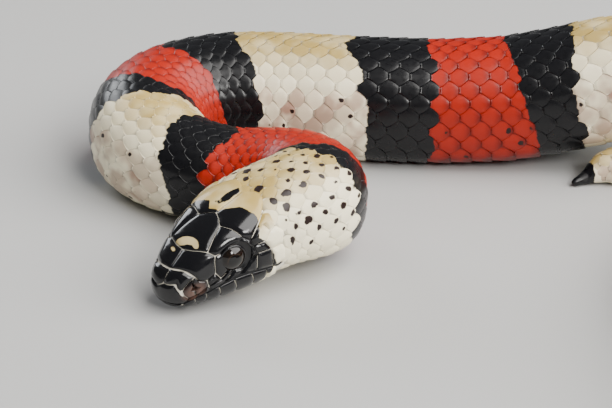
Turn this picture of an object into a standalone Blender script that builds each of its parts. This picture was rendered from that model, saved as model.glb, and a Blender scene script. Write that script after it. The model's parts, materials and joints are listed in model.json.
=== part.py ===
"""A milk snake at life size, lying in loose loops with its head lowered to the floor.

Lengths in the tables are millimetres, turned into metres where the meshes are made.
Distances along the body run over the floor from the tip of the snout to the tip of the tail.
"""
import math

import bmesh
import bpy
import numpy as np
from mathutils import Matrix, Quaternion, Vector

MM = 0.001

# The body line: how far along the body, and which way it runs there in degrees from +X.
SNOUT_X = -18.05
SNOUT_Y = -35.65
HEADINGS = [
    (0, 44), (15, 44), (20, 30), (25, 64), (30, 99), (35, 133), (40, 165), (46, 168), (54, 140),
    (60, 116), (66, 89), (72, 59), (78, 31), (86, 7), (96, -6), (110, 1), (150, -1), (200, -1),
    (250, -25), (300, -76), (350, -122), (400, -162), (450, -207), (490, -251), (520, -266),
    (540, -289), (554, -345), (568, -413), (582, -448), (600, -441), (630, -394), (660, -340),
    (690, -292), (720, -245), (760, -198), (800, -185), (825, -194), (835, -202), (847, -137),
]
BODY_LENGTH = 847.0
LINE_STEP = 0.5
HEADING_BLUR = 5.0
SIZE_BLUR = 2.0

# The head slopes down to the floor and leans a little to its left, then the line levels out
# and turns upright in the neck.
HEAD_PITCH = math.radians(19)
HEAD_ROLL = math.radians(7)
SNOUT_HEIGHT = 2.1
HEAD_LINE_END = 15.0
NECK_LINE_START = 27.0

# Belly height above the floor: a raised neck, and a low hump in the long straight.
BELLY_LIFT = [
    (0, 1.8), (24, 1.8), (34, 1.2), (44, 0.2), (50, 0), (116, 0), (126, 0.8), (134, 2.6),
    (140, 4.3), (146, 5.4), (152, 5.8), (162, 5.2), (186, 0), (847, 0),
]

HALF_WIDTH = [
    (0, 2.5), (0.7, 2.8), (2.2, 3.4), (5, 4.6), (7.5, 5.6), (10, 6.5), (13, 7.0), (16, 7.1),
    (20, 7.2), (26, 7.7), (33, 7.5), (44, 6.9), (52, 7.3), (58, 8.0), (66, 8.6), (74, 9.1),
    (84, 9.5), (110, 9.6), (160, 9.7), (260, 10.2), (480, 10.2), (560, 9.5), (640, 8.4),
    (700, 7.3), (731, 6.3), (760, 5.1), (800, 3.8), (825, 3.2), (838, 2.95), (841, 2.75),
    (843, 1.9), (844.2, 0.9), (847, 0.5),
]
BACK_HEIGHT = [
    (0, 2.3), (0.6, 2.8), (2.4, 3.9), (4.9, 5.1), (7.2, 6.0), (10.2, 6.6), (13.2, 6.8),
    (16.6, 6.8), (20, 6.9), (26, 7.3), (33, 7.1), (44, 6.5), (52, 6.9), (58, 7.5), (66, 8.1),
    (74, 8.6), (84, 8.9), (110, 9.0), (160, 9.1), (260, 9.4), (480, 9.4), (560, 8.8),
    (640, 7.8), (700, 6.8), (731, 5.9), (760, 4.8), (800, 3.6), (825, 3.05), (838, 2.85),
    (841, 2.65), (843, 1.8), (844.2, 0.85), (847, 0.45),
]
BELLY_DEPTH = [
    (0, 1.3), (1.5, 2.0), (2.8, 2.6), (4.7, 3.0), (7.5, 3.5), (10.3, 4.1), (13.2, 4.8),
    (16, 5.4), (19, 6.1), (26, 7.1), (33, 6.9), (44, 6.4), (52, 6.8), (58, 7.4), (66, 8.0),
    (74, 8.5), (84, 8.8), (110, 8.9), (160, 9.0), (260, 9.3), (480, 9.3), (560, 8.7),
    (640, 7.7), (700, 6.7), (731, 5.8), (760, 4.7), (800, 3.5), (825, 3.0), (838, 2.8),
    (841, 2.6), (843, 1.75), (844.2, 0.85), (847, 0.45),
]
# A section is a superellipse: 2 is round, more is boxier. The crown is flat, the back round.
BACK_ROUNDNESS = [(0, 2.6), (3, 3.2), (6, 3.4), (12, 3.1), (16, 2.7), (22, 2.3), (32, 2.05)]
BELLY_ROUNDNESS = [(0, 2.4), (14, 2.5), (24, 2.9), (847, 2.9)]
BELLY_FLAT = 0.965
SNOUT_ROUND = 1.5
TAIL_ROUND = 1.0

# Where the body is parted into named lengths, with a thin cut at each place.
CUT_GAP = 0.3
HEAD_END = 18.0
NECK_CUTS = [18.0, 31.0, 45.0]
TRUNK_CUTS = [
    45.0, 59.0, 70.0, 82.0, 140.0, 215.0, 290.0, 365.0, 440.0, 515.0, 550.0, 564.0, 590.0,
    650.0, 690.0, 731.0,
]
TAIL_CUTS = [731.0, 780.0, 824.0, 847.0]
TAIL_NAMES = ["tail_base", "tail_middle", "tail_tip"]

BODY_SIDES = 20
HEAD_SIDES = 32
HEAD_RING_STEP = 0.8
LONGEST_RING_STEP = 9.0
TURN_PER_RING = 11.0
LEAST_TURN = 1e-6
SHARP_EDGE = math.radians(40)
# Rings that round off the two ends, counted from the very end of the body.
SNOUT_RINGS = [0.02, 0.12, 0.35, 0.7, 1.1]
TAIL_RINGS = [3.0, 1.5, 0.8, 0.35, 0.1, 0.02]

# The eyes and the mouth, in the head's own axes: back from the snout, out to the left, up.
# Each side of the head is hollowed a little round the eye, under the brow.
EYE_RADIUS = 2.1
EYE_PLACE = (9.15, 3.8, 2.9)
HOLLOW_DEPTH = 0.95
HOLLOW_LENGTH = 3.2
HOLLOW_HEIGHT = 2.4
EYE_SEGMENTS = 20
EYE_RINGS = 12
MOUTH_LINE = [
    (-3, -0.35), (1, -0.45), (3, -0.2), (5.6, 0.15), (8, 0.35), (10, 0.2), (12, -0.35),
    (14, -1.0),
]
MOUTH_CORNER = 13.4
MOUTH_STEP = 0.8
JAW_REACH = 12.0

CREAM = (0.72, 0.62, 0.44)
BLACK = (0.012, 0.012, 0.014)
RED = (0.62, 0.07, 0.02)
EYE_BLACK = (0.004, 0.004, 0.005)
SKIN_ROUGHNESS = 0.34
EYE_ROUGHNESS = 0.06


def clear_scene():
    for thing in list(bpy.data.objects):
        bpy.data.objects.remove(thing, do_unlink=True)


def blurred(values, width):
    count = int(width / LINE_STEP) | 1
    padded = np.pad(values, count // 2, mode="edge")
    return np.convolve(padded, np.ones(count) / count, "valid")


def table(stations, width=SIZE_BLUR):
    """Values of a table at every step of the line, joined straight and then softened."""
    places, values = zip(*stations)
    return blurred(blurred(np.interp(ALONG, places, values), width), width)


def smoothstep(low, high, value):
    part = np.clip((value - low) / (high - low), 0, 1)
    return part * part * (3 - 2 * part)


ALONG = np.arange(0, BODY_LENGTH + LINE_STEP / 2, LINE_STEP)
HEADING = np.radians(table(HEADINGS, HEADING_BLUR))
MID_HEADING = (HEADING[1:] + HEADING[:-1]) / 2
LINE_X = SNOUT_X + np.concatenate([[0], np.cumsum(np.cos(MID_HEADING)) * LINE_STEP])
LINE_Y = SNOUT_Y + np.concatenate([[0], np.cumsum(np.sin(MID_HEADING)) * LINE_STEP])
WIDTH = table(HALF_WIDTH)
BACK = table(BACK_HEIGHT)
BELLY = table(BELLY_DEPTH)
BACK_SHAPE = table(BACK_ROUNDNESS)
BELLY_SHAPE = table(BELLY_ROUNDNESS)
HEAD_LINE = SNOUT_HEIGHT + ALONG * math.tan(HEAD_PITCH)
REST_LINE = table(BELLY_LIFT) + BELLY * BELLY_FLAT
NECK_PART = smoothstep(HEAD_LINE_END, NECK_LINE_START, ALONG)
LINE_Z = HEAD_LINE + (REST_LINE - HEAD_LINE) * NECK_PART
ROLL = HEAD_ROLL * (1 - NECK_PART)
SLOPE = np.gradient(LINE_Z, ALONG)


def at(values, place):
    return float(np.interp(place, ALONG, values))


def axes(place):
    """Centre of the body at a place, and its directions: backward, to its left, up."""
    heading = at(HEADING, place)
    back = Vector((math.cos(heading), math.sin(heading), at(SLOPE, place))).normalized()
    left = Vector((math.sin(heading), -math.cos(heading), 0))
    left.rotate(Quaternion(back, at(ROLL, place)))
    up = left.cross(back)
    centre = Vector((at(LINE_X, place), at(LINE_Y, place), at(LINE_Z, place)))
    return centre, back, left, up


def end_rounding(place):
    """How far a section is closed in towards the rounded snout and tail tip."""
    from_snout = min(place / SNOUT_ROUND, 1)
    from_tail = min((BODY_LENGTH - place) / TAIL_ROUND, 1)
    return math.sqrt(1 - (1 - from_snout) ** 2) * math.sqrt(1 - (1 - from_tail) ** 2)


def bent(value, power):
    return math.copysign(abs(value) ** power, value)


def eye_hollow(place, upward):
    """How far the side of the head is drawn in at a place and height, towards the eye."""
    along = (place - EYE_PLACE[0]) / HOLLOW_LENGTH
    above = (upward - EYE_PLACE[2]) / HOLLOW_HEIGHT
    return HOLLOW_DEPTH * math.exp(-along * along - above * above)


def section(place, sides):
    """Points round the body at a place, from its left side up over the back."""
    centre, back, left, up = axes(place)
    scale = end_rounding(place)
    points = []
    for side in range(sides):
        angle = 2 * math.pi * (side + 0.5) / sides
        over = math.sin(angle) > 0
        power = 2 / at(BACK_SHAPE if over else BELLY_SHAPE, place)
        height = at(BACK if over else BELLY, place)
        across = at(WIDTH, place) * bent(math.cos(angle), power)
        upward = max(height * bent(math.sin(angle), power), -BELLY_FLAT * at(BELLY, place))
        across -= eye_hollow(place, upward) * across / at(WIDTH, place)
        point = centre + left * across * scale + up * upward * scale
        point.z = max(point.z, 0)
        points.append(point * MM)
    return points


def ring_places(start, end):
    """Places for the rings of one length, closer together where the body bends."""
    places = [start]
    while places[-1] < end:
        here = places[-1]
        turn = abs(at(HEADING, min(here + LINE_STEP, end)) - at(HEADING, here)) / LINE_STEP
        step = math.radians(TURN_PER_RING) / max(turn, LEAST_TURN)
        places.append(here + min(step, LONGEST_RING_STEP))
    places[-1] = end
    return places


def material(name, colour, roughness):
    finish = bpy.data.materials.new(name)
    finish.use_nodes = True
    shader = finish.node_tree.nodes["Principled BSDF"]
    shader.inputs["Base Color"].default_value = (*colour, 1)
    shader.inputs["Roughness"].default_value = roughness
    shader.inputs["Metallic"].default_value = 0
    return finish


def loft(name, places, sides, colour):
    """One closed length of the body through its rings."""
    shape = bmesh.new()
    rings = [[shape.verts.new(point) for point in section(place, sides)] for place in places]
    for near, far in zip(rings, rings[1:]):
        for side in range(sides):
            after = (side + 1) % sides
            shape.faces.new((near[side], near[after], far[after], far[side]))
    shape.faces.new(rings[0])
    shape.faces.new(rings[-1])
    bmesh.ops.recalc_face_normals(shape, faces=shape.faces)
    return add_object(name, shape, colour, SKIN_ROUGHNESS)


def add_object(name, shape, colour, roughness):
    mesh = bpy.data.meshes.new(name)
    shape.to_mesh(mesh)
    shape.free()
    mesh.materials.append(material(name + "_finish", colour, roughness))
    mesh.shade_smooth()
    mesh.set_sharp_from_angle(angle=SHARP_EDGE)
    made = bpy.data.objects.new(name, mesh)
    bpy.context.scene.collection.objects.link(made)
    made.parent = ORIGIN
    return made


def body_length(name, start, end, colour):
    gap = CUT_GAP / 2
    last = end if end == BODY_LENGTH else end - gap
    places = ring_places(start + gap, last)
    if end == BODY_LENGTH:
        places = places[:-1] + [end - from_tip for from_tip in TAIL_RINGS]
    return loft(name, places, BODY_SIDES, colour)


def head_matrix():
    """The head's own axes as a matrix that places a piece given in millimetres."""
    heading = math.radians(HEADINGS[0][1])
    level = math.cos(HEAD_PITCH)
    back = Vector((math.cos(heading) * level, math.sin(heading) * level, math.sin(HEAD_PITCH)))
    left = Vector((math.sin(heading), -math.cos(heading), 0))
    left.rotate(Quaternion(back, HEAD_ROLL))
    up = left.cross(back)
    turn = Matrix((back, left, up)).transposed().to_4x4()
    place = Matrix.Translation(Vector((SNOUT_X, SNOUT_Y, SNOUT_HEIGHT)) * MM)
    return place @ turn @ Matrix.Scale(MM, 4)


def eyeball(name, side, radius):
    """A ball at the eye; its pole faces out so that the rings run round the pupil."""
    shape = bmesh.new()
    outward = Matrix.Rotation(math.radians(-90 * side), 4, "X")
    bmesh.ops.create_uvsphere(
        shape, u_segments=EYE_SEGMENTS, v_segments=EYE_RINGS, radius=radius, matrix=outward
    )
    back, out, up = EYE_PLACE
    bmesh.ops.translate(shape, verts=shape.verts, vec=(back, out * side, up))
    bmesh.ops.transform(shape, verts=shape.verts, matrix=head_matrix())
    bmesh.ops.recalc_face_normals(shape, faces=shape.faces)
    return add_object(name, shape, EYE_BLACK, EYE_ROUGHNESS)


def jaw_block(name, gap):
    """A block with the mouth line as its top, for parting the lower jaw from the head."""
    places, heights = zip(*MOUTH_LINE)
    steps = np.arange(places[0], MOUTH_CORNER + gap, MOUTH_STEP)
    steps = np.append(steps, MOUTH_CORNER + gap)
    outline = [(float(s), float(np.interp(s, places, heights)) + gap) for s in steps]
    outline += [(MOUTH_CORNER + gap, -JAW_REACH), (places[0], -JAW_REACH)]
    shape = bmesh.new()
    face = shape.faces.new([shape.verts.new((s, -JAW_REACH, up)) for s, up in outline])
    grown = bmesh.ops.extrude_face_region(shape, geom=[face])
    moved = [v for v in grown["geom"] if isinstance(v, bmesh.types.BMVert)]
    bmesh.ops.translate(shape, verts=moved, vec=(0, 2 * JAW_REACH, 0))
    bmesh.ops.transform(shape, verts=shape.verts, matrix=head_matrix())
    bmesh.ops.recalc_face_normals(shape, faces=shape.faces)
    block = add_object(name, shape, BLACK, SKIN_ROUGHNESS)
    block.hide_render = True
    block.display_type = "WIRE"
    return block


def cut(piece, cutter, operation):
    change = piece.modifiers.new(cutter.name, "BOOLEAN")
    change.operation = operation
    change.object = cutter
    change.solver = "EXACT"


def make_head():
    gap = CUT_GAP / 2
    rear = HEAD_END - gap
    count = round((rear - SNOUT_ROUND) / HEAD_RING_STEP)
    places = SNOUT_RINGS + [float(s) for s in np.linspace(SNOUT_ROUND, rear, count)]
    head = loft("head", places, HEAD_SIDES, BLACK)
    jaw = loft("lower_jaw", places, HEAD_SIDES, BLACK)
    cut(head, jaw_block("jaw_room", gap), "DIFFERENCE")
    cut(jaw, jaw_block("jaw_shape", -gap), "INTERSECT")
    for name, side in (("left", 1), ("right", -1)):
        eyeball("eye_" + name, side, EYE_RADIUS)
        socket = eyeball("socket_" + name, side, EYE_RADIUS + CUT_GAP)
        socket.hide_render = True
        socket.display_type = "WIRE"
        cut(head, socket, "DIFFERENCE")


def make_body():
    for number, name in enumerate(("neck_front", "neck_rear")):
        start, end = NECK_CUTS[number:number + 2]
        body_length(name, start, end, (CREAM, RED)[number])
    bands = (BLACK, CREAM, BLACK, RED)
    for number, (start, end) in enumerate(zip(TRUNK_CUTS, TRUNK_CUTS[1:])):
        body_length(f"trunk_{number + 1:02d}", start, end, bands[number % len(bands)])
    for number, name in enumerate(TAIL_NAMES):
        start, end = TAIL_CUTS[number:number + 2]
        body_length(name, start, end, (BLACK, CREAM, BLACK)[number])


def centre_on_origin():
    """Move the whole snake so that the middle of its footprint is at the origin."""
    corners = [
        vertex.co for thing in bpy.data.objects
        if thing.type == "MESH" and not thing.hide_render for vertex in thing.data.vertices
    ]
    for axis in (0, 1):
        values = [corner[axis] for corner in corners]
        ORIGIN.location[axis] = -(min(values) + max(values)) / 2


clear_scene()
ORIGIN = bpy.data.objects.new("footprint_centre", None)
bpy.context.scene.collection.objects.link(ORIGIN)
make_head()
make_body()
centre_on_origin()
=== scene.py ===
# %% [markdown]
# # A milk snake, scale by scale
# The solids of the snake are already in place: a head, two eyes and a body in lengths. This lesson dresses
# them. One skin is drawn over the whole animal, and thousands of small plates are laid on it the way real
# scales lie, each tip over the base of the next. The first cell loads the solids and keeps their size.

# %% Load the solids
import json
import math

import bpy
import numpy as np
from mathutils import Matrix, Vector

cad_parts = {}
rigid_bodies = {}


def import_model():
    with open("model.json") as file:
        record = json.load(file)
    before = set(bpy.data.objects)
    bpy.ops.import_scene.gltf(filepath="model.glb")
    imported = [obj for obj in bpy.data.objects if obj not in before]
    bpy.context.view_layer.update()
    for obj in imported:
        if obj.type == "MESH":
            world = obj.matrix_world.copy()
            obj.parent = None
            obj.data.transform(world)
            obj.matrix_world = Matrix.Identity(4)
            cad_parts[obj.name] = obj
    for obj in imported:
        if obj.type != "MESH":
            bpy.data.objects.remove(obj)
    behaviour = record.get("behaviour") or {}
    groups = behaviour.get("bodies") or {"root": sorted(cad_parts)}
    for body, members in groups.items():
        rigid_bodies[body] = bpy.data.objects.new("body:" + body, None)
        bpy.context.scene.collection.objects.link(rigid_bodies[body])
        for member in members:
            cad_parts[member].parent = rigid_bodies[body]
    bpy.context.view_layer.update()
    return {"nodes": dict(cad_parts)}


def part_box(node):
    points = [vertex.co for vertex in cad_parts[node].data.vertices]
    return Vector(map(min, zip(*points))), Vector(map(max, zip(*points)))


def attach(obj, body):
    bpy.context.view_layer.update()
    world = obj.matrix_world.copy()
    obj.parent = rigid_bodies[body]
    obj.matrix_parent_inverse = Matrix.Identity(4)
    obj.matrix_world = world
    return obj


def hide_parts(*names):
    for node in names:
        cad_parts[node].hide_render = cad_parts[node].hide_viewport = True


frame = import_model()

MM = 0.001

# %% [markdown]
# ## The line of the body
# A snake is a tube on a curved line, so its shape is a few tables: which way the line runs, how wide the body
# is, how high the back is over the line and how deep the belly is under it. They are the same tables that the
# solids were made from, in millimetres from the tip of the snout, so the skin fits the solids exactly.

# %% Tables of the body
SNOUT_X = -18.05
SNOUT_Y = -35.65
HEADINGS = [
    (0, 44), (15, 44), (20, 30), (25, 64), (30, 99), (35, 133), (40, 165), (46, 168), (54, 140),
    (60, 116), (66, 89), (72, 59), (78, 31), (86, 7), (96, -6), (110, 1), (150, -1), (200, -1),
    (250, -25), (300, -76), (350, -122), (400, -162), (450, -207), (490, -251), (520, -266),
    (540, -289), (554, -345), (568, -413), (582, -448), (600, -441), (630, -394), (660, -340),
    (690, -292), (720, -245), (760, -198), (800, -185), (825, -194), (835, -202), (847, -137),
]
BELLY_LIFT = [
    (0, 1.8), (24, 1.8), (34, 1.2), (44, 0.2), (50, 0), (116, 0), (126, 0.8), (134, 2.6),
    (140, 4.3), (146, 5.4), (152, 5.8), (162, 5.2), (186, 0), (847, 0),
]
HALF_WIDTH = [
    (0, 2.5), (0.7, 2.8), (2.2, 3.4), (5, 4.6), (7.5, 5.6), (10, 6.5), (13, 7.0), (16, 7.1),
    (20, 7.2), (26, 7.7), (33, 7.5), (44, 6.9), (52, 7.3), (58, 8.0), (66, 8.6), (74, 9.1),
    (84, 9.5), (110, 9.6), (160, 9.7), (260, 10.2), (480, 10.2), (560, 9.5), (640, 8.4),
    (700, 7.3), (731, 6.3), (760, 5.1), (800, 3.8), (825, 3.2), (838, 2.95), (841, 2.75),
    (843, 1.9), (844.2, 0.9), (847, 0.5),
]
BACK_HEIGHT = [
    (0, 2.3), (0.6, 2.8), (2.4, 3.9), (4.9, 5.1), (7.2, 6.0), (10.2, 6.6), (13.2, 6.8),
    (16.6, 6.8), (20, 6.9), (26, 7.3), (33, 7.1), (44, 6.5), (52, 6.9), (58, 7.5), (66, 8.1),
    (74, 8.6), (84, 8.9), (110, 9.0), (160, 9.1), (260, 9.4), (480, 9.4), (560, 8.8),
    (640, 7.8), (700, 6.8), (731, 5.9), (760, 4.8), (800, 3.6), (825, 3.05), (838, 2.85),
    (841, 2.65), (843, 1.8), (844.2, 0.85), (847, 0.45),
]
BELLY_DEPTH = [
    (0, 1.3), (1.5, 2.0), (2.8, 2.6), (4.7, 3.0), (7.5, 3.5), (10.3, 4.1), (13.2, 4.8),
    (16, 5.4), (19, 6.1), (26, 7.1), (33, 6.9), (44, 6.4), (52, 6.8), (58, 7.4), (66, 8.0),
    (74, 8.5), (84, 8.8), (110, 8.9), (160, 9.0), (260, 9.3), (480, 9.3), (560, 8.7),
    (640, 7.7), (700, 6.7), (731, 5.8), (760, 4.7), (800, 3.5), (825, 3.0), (838, 2.8),
    (841, 2.6), (843, 1.75), (844.2, 0.85), (847, 0.45),
]
BODY_LENGTH = 847.0
print("headings:", len(HEADINGS), "from the snout to", HEADINGS[-1][0], "mm")

# %% [markdown]
# ## From the tables to one smooth line
# Tables joined by straight lines would give a body with corners, so every table is softened a little by
# averaging over a few millimetres. Walking along the headings step by step then gives the line. The head
# is stiff: its part of the line is straight, leans back by a fixed pitch and is rolled a little to one side.

# %% The line
LINE_STEP = 0.5
HEADING_BLUR = 5.0
SIZE_BLUR = 2.0
HEAD_PITCH = math.radians(19)
SNOUT_HEIGHT = 2.1
HEAD_LINE_END = 15.0
NECK_LINE_START = 27.0
BELLY_FLAT = 0.965

ALONG = np.arange(0, BODY_LENGTH + LINE_STEP / 2, LINE_STEP)


def blurred(values, width):
    """Values averaged over a width in millimetres; the number of steps in it is made odd."""
    count = int(width / LINE_STEP) | 1
    padded = np.pad(values, count // 2, mode="edge")
    return np.convolve(padded, np.ones(count) / count, "valid")


def table(stations, width=SIZE_BLUR):
    """Values of a table at every step of the line, joined straight and then softened."""
    places, values = zip(*stations)
    return blurred(blurred(np.interp(ALONG, places, values), width), width)


def smoothstep(low, high, value):
    part = np.clip((value - low) / (high - low), 0, 1)
    return part * part * (3 - 2 * part)


HEADING = np.radians(table(HEADINGS, HEADING_BLUR))
MID_HEADING = (HEADING[1:] + HEADING[:-1]) / 2
LINE_X = SNOUT_X + np.concatenate([[0], np.cumsum(np.cos(MID_HEADING)) * LINE_STEP])
LINE_Y = SNOUT_Y + np.concatenate([[0], np.cumsum(np.sin(MID_HEADING)) * LINE_STEP])
WIDTH = table(HALF_WIDTH)
BACK = table(BACK_HEIGHT)
BELLY = table(BELLY_DEPTH)
HEAD_LINE = SNOUT_HEIGHT + ALONG * math.tan(HEAD_PITCH)
REST_LINE = table(BELLY_LIFT) + BELLY * BELLY_FLAT
NECK_PART = smoothstep(HEAD_LINE_END, NECK_LINE_START, ALONG)
LINE_Z = HEAD_LINE + (REST_LINE - HEAD_LINE) * NECK_PART
print("body line:", BODY_LENGTH, "mm, widest", round(2 * WIDTH.max(), 1), "mm")

# %% [markdown]
# ## The surface as a map
# Every scale needs a place, so the surface gets two coordinates, like a map. The place is the distance along
# the body. The turn goes round it: 0 is the middle of the back, +1 and -1 are the middle of the belly,
# reached down the left and the right side. A ring of the body is an oval with its own roundness over and
# under the line. It is hollowed beside the eyes, flat where the snake lies, and closed at both ends.

# %% Rings of the body
BACK_ROUNDNESS = [(0, 2.6), (3, 3.2), (6, 3.4), (12, 3.1), (16, 2.7), (22, 2.3), (32, 2.05)]
BELLY_ROUNDNESS = [(0, 2.4), (14, 2.5), (24, 2.9), (847, 2.9)]
HEAD_ROLL = math.radians(7)
EYE_PLACE = np.array([9.15, 3.8, 2.9])
HOLLOW_DEPTH = 0.95
HOLLOW_LENGTH = 3.2
HOLLOW_HEIGHT = 2.4
SNOUT_ROUND = 1.5
TAIL_ROUND = 1.0
LEAST_SHARE = 1e-3
MID_BODY = 300.0
FINE_TURNS = np.linspace(-1, 1, 1025)


def unit(vectors):
    return vectors / np.linalg.norm(vectors, axis=-1, keepdims=True)


def at(values, places):
    return np.interp(places, ALONG, values)


def axes(places):
    """Directions of the body at many places: backward, to its left and up."""
    heading = at(HEADING, places)
    slope = at(np.gradient(LINE_Z, ALONG), places)
    back = unit(np.stack([np.cos(heading), np.sin(heading), slope], -1))
    level = np.stack([np.sin(heading), -np.cos(heading), 0 * heading], -1)
    roll = at(HEAD_ROLL * (1 - NECK_PART), places)[..., None]
    left = level * np.cos(roll) + np.cross(back, level) * np.sin(roll)
    return back, left, np.cross(left, back)


def sections(places):
    """Rings of points round the body, in millimetres, from the right side of the belly over the back."""
    angle = np.pi / 2 - np.pi * FINE_TURNS
    over = np.sin(angle) > 0
    roundness = np.where(over, at(table(BACK_ROUNDNESS), places)[:, None],
                         at(table(BELLY_ROUNDNESS), places)[:, None])
    height = np.where(over, at(BACK, places)[:, None], at(BELLY, places)[:, None])
    belly_floor = -BELLY_FLAT * at(BELLY, places)[:, None]
    upward = height * np.sign(np.sin(angle)) * np.abs(np.sin(angle)) ** (2 / roundness)
    upward = np.maximum(upward, belly_floor)
    sideways = np.sign(np.cos(angle)) * np.abs(np.cos(angle)) ** (2 / roundness)
    from_eye = ((places[:, None] - EYE_PLACE[0]) / HOLLOW_LENGTH) ** 2
    hollow = HOLLOW_DEPTH * np.exp(-from_eye - ((upward - EYE_PLACE[2]) / HOLLOW_HEIGHT) ** 2)
    across = sideways * (at(WIDTH, places)[:, None] - hollow)
    from_snout = np.minimum(places / SNOUT_ROUND, 1)
    from_tail = np.minimum((BODY_LENGTH - places) / TAIL_ROUND, 1)
    closing = np.sqrt(1 - (1 - from_snout) ** 2) * np.sqrt(1 - (1 - from_tail) ** 2)
    closing = np.maximum(closing, LEAST_SHARE)[:, None, None]
    centre = np.stack([at(LINE_X, places), at(LINE_Y, places), at(LINE_Z, places)], -1)
    _, left, up = axes(places)
    rings = left[:, None] * across[..., None] + up[:, None] * upward[..., None]
    rings = centre[:, None] + rings * closing
    rings[..., 2] = np.maximum(rings[..., 2], 0)
    return rings


print("one ring at mid-body:", sections(np.array([MID_BODY])).shape[1], "points")

# %% [markdown]
# ## The grid of the map
# The rings are worked out every quarter of a millimetre, and closer together where the snout and the tail
# are rounded off. On each ring the points are moved so that they are evenly spaced round the girth.

# %% The surface grid
ROUNDING_STEPS = np.linspace(0, np.pi / 2, 25)[1:]
SNOUT_PLACES = SNOUT_ROUND * (1 - np.cos(ROUNDING_STEPS))
TAIL_PLACES = BODY_LENGTH - TAIL_ROUND * (1 - np.cos(ROUNDING_STEPS[::-1]))
MAP_STEP = 0.25
MAP_PLACES = np.concatenate(
    [SNOUT_PLACES, np.arange(SNOUT_ROUND + MAP_STEP, BODY_LENGTH - TAIL_ROUND, MAP_STEP), TAIL_PLACES]
)
TURN_COUNT = 257
MAP_TURNS = np.linspace(-1, 1, TURN_COUNT)


def even_turns(ring):
    """One ring with its points spread evenly over each side, and the length of half its girth."""
    steps = np.linalg.norm(np.diff(ring, axis=0), axis=-1)
    girth = np.concatenate([[0], np.cumsum(steps)])
    middle = girth[len(girth) // 2]
    turn = np.where(girth < middle, girth / middle - 1, (girth - middle) / (girth[-1] - middle))
    return np.stack([np.interp(MAP_TURNS, turn, ring[:, axis]) for axis in range(3)], -1), middle


def surface_map():
    """Points, outward normals and half girths of the whole grid."""
    rings, girths = zip(*[even_turns(ring) for ring in sections(MAP_PLACES)])
    points = np.array(rings)
    along = np.gradient(points, MAP_PLACES, axis=0)
    around = np.gradient(points, axis=1)
    around[:, 0] = around[:, -1] = points[:, 1] - points[:, -2]
    return points, unit(np.cross(around, along)), np.array(girths)


MAP_POINTS, MAP_NORMALS, MAP_GIRTH = surface_map()
print("surface grid:", MAP_POINTS.shape[:2], "points")

# %% [markdown]
# ## Reading the map
# Any point of the surface is mixed from the four grid points round it. The turn may run past the middle of
# the belly: it is brought back to the other side.

# %% Points on the map
def on_map(grid, place, turn):
    """A grid's values at any places and turns, mixed from the four nearest points of the grid."""
    row = np.interp(place, MAP_PLACES, np.arange(len(MAP_PLACES)))
    column = ((turn + 1) % 2) / 2 * (TURN_COUNT - 1)
    row_low = np.minimum(row.astype(int), len(MAP_PLACES) - 2)
    column_low = np.minimum(column.astype(int), TURN_COUNT - 2)
    down = (row - row_low)[..., None]
    over = (column - column_low)[..., None]
    near = grid[row_low, column_low] * (1 - over) + grid[row_low, column_low + 1] * over
    far = grid[row_low + 1, column_low] * (1 - over) + grid[row_low + 1, column_low + 1] * over
    return near * (1 - down) + far * down


def half_girth(place):
    """From the middle of the back to the middle of the belly, in millimetres over the skin."""
    return np.interp(place, MAP_PLACES, MAP_GIRTH)


print("half girth at mid-body:", round(float(half_girth(MID_BODY)), 1), "mm")

# %% [markdown]
# ## From the map to the room
# The solids were moved so that the middle of the footprint is at the origin. The left eye shows by how much:
# it is a ball, so the middle of its box is its centre, and that centre is also known on the head's own axes.

# %% Line up with the solids
HEAD_BACK, HEAD_LEFT, HEAD_UP = (direction[0] for direction in axes(np.array([0.0])))
SNOUT = np.array([SNOUT_X, SNOUT_Y, SNOUT_HEIGHT])


def head_point(back, left, up):
    """A point given on the head's own axes, in millimetres of the map."""
    return SNOUT + HEAD_BACK * back + HEAD_LEFT * left + HEAD_UP * up


eye_low, eye_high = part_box("eye_left")
eye_middle = np.array((eye_low + eye_high) / 2) / MM
SHIFT = eye_middle - head_point(*EYE_PLACE)


def to_room(point):
    return Vector((np.array(point, float) + SHIFT) * MM)


def over_body(place, turn, height):
    """Points at a height over the skin of the solids, in metres of the room."""
    place, turn, height = np.broadcast_arrays(place, turn, height)
    normals = unit(on_map(MAP_NORMALS, place, turn))
    points = on_map(MAP_POINTS, place, turn) + normals * height[..., None]
    return (points + SHIFT) * MM


print("shift to the room, mm:", np.round(SHIFT, 2))

# %% [markdown]
# ## The camera
# The photo looks down on the snake by 24 degrees from close by, with the camera tilted a little to one side.
# The lens is long for that distance, so the view holds only the head and the body beside it.

# %% Camera
SIGHT_ELEVATION = math.radians(24)
SIGHT_DISTANCE = 300.0
SIGHT_LENS = 123.5
SIGHT_TILT = math.radians(2.2)
SENSOR_WIDTH = 36.0
NEAREST_SEEN = 0.01


def add_camera():
    data = bpy.data.cameras.new("sight")
    data.sensor_width = SENSOR_WIDTH
    data.lens = SIGHT_LENS
    data.clip_start = NEAREST_SEEN
    camera = bpy.data.objects.new("sight", data)
    bpy.context.scene.collection.objects.link(camera)
    away = Vector((0, math.cos(SIGHT_ELEVATION), -math.sin(SIGHT_ELEVATION)))
    upward = Vector((0, math.sin(SIGHT_ELEVATION), math.cos(SIGHT_ELEVATION)))
    right = Vector((1, 0, 0))
    tilted_right = right * math.cos(SIGHT_TILT) + upward * math.sin(SIGHT_TILT)
    tilted_up = upward * math.cos(SIGHT_TILT) - right * math.sin(SIGHT_TILT)
    turn = Matrix((tilted_right, tilted_up, -away)).transposed().to_4x4()
    camera.matrix_world = Matrix.Translation(to_room((0, 0, 0)) - away * SIGHT_DISTANCE * MM) @ turn
    bpy.context.scene.camera = camera


add_camera()
print("camera", SIGHT_DISTANCE, "mm away")

# %% [markdown]
# ## The floor
# The floor is a plain pale sheet. It lies a fifth of a millimetre low, so that it never meets the belly.

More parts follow.
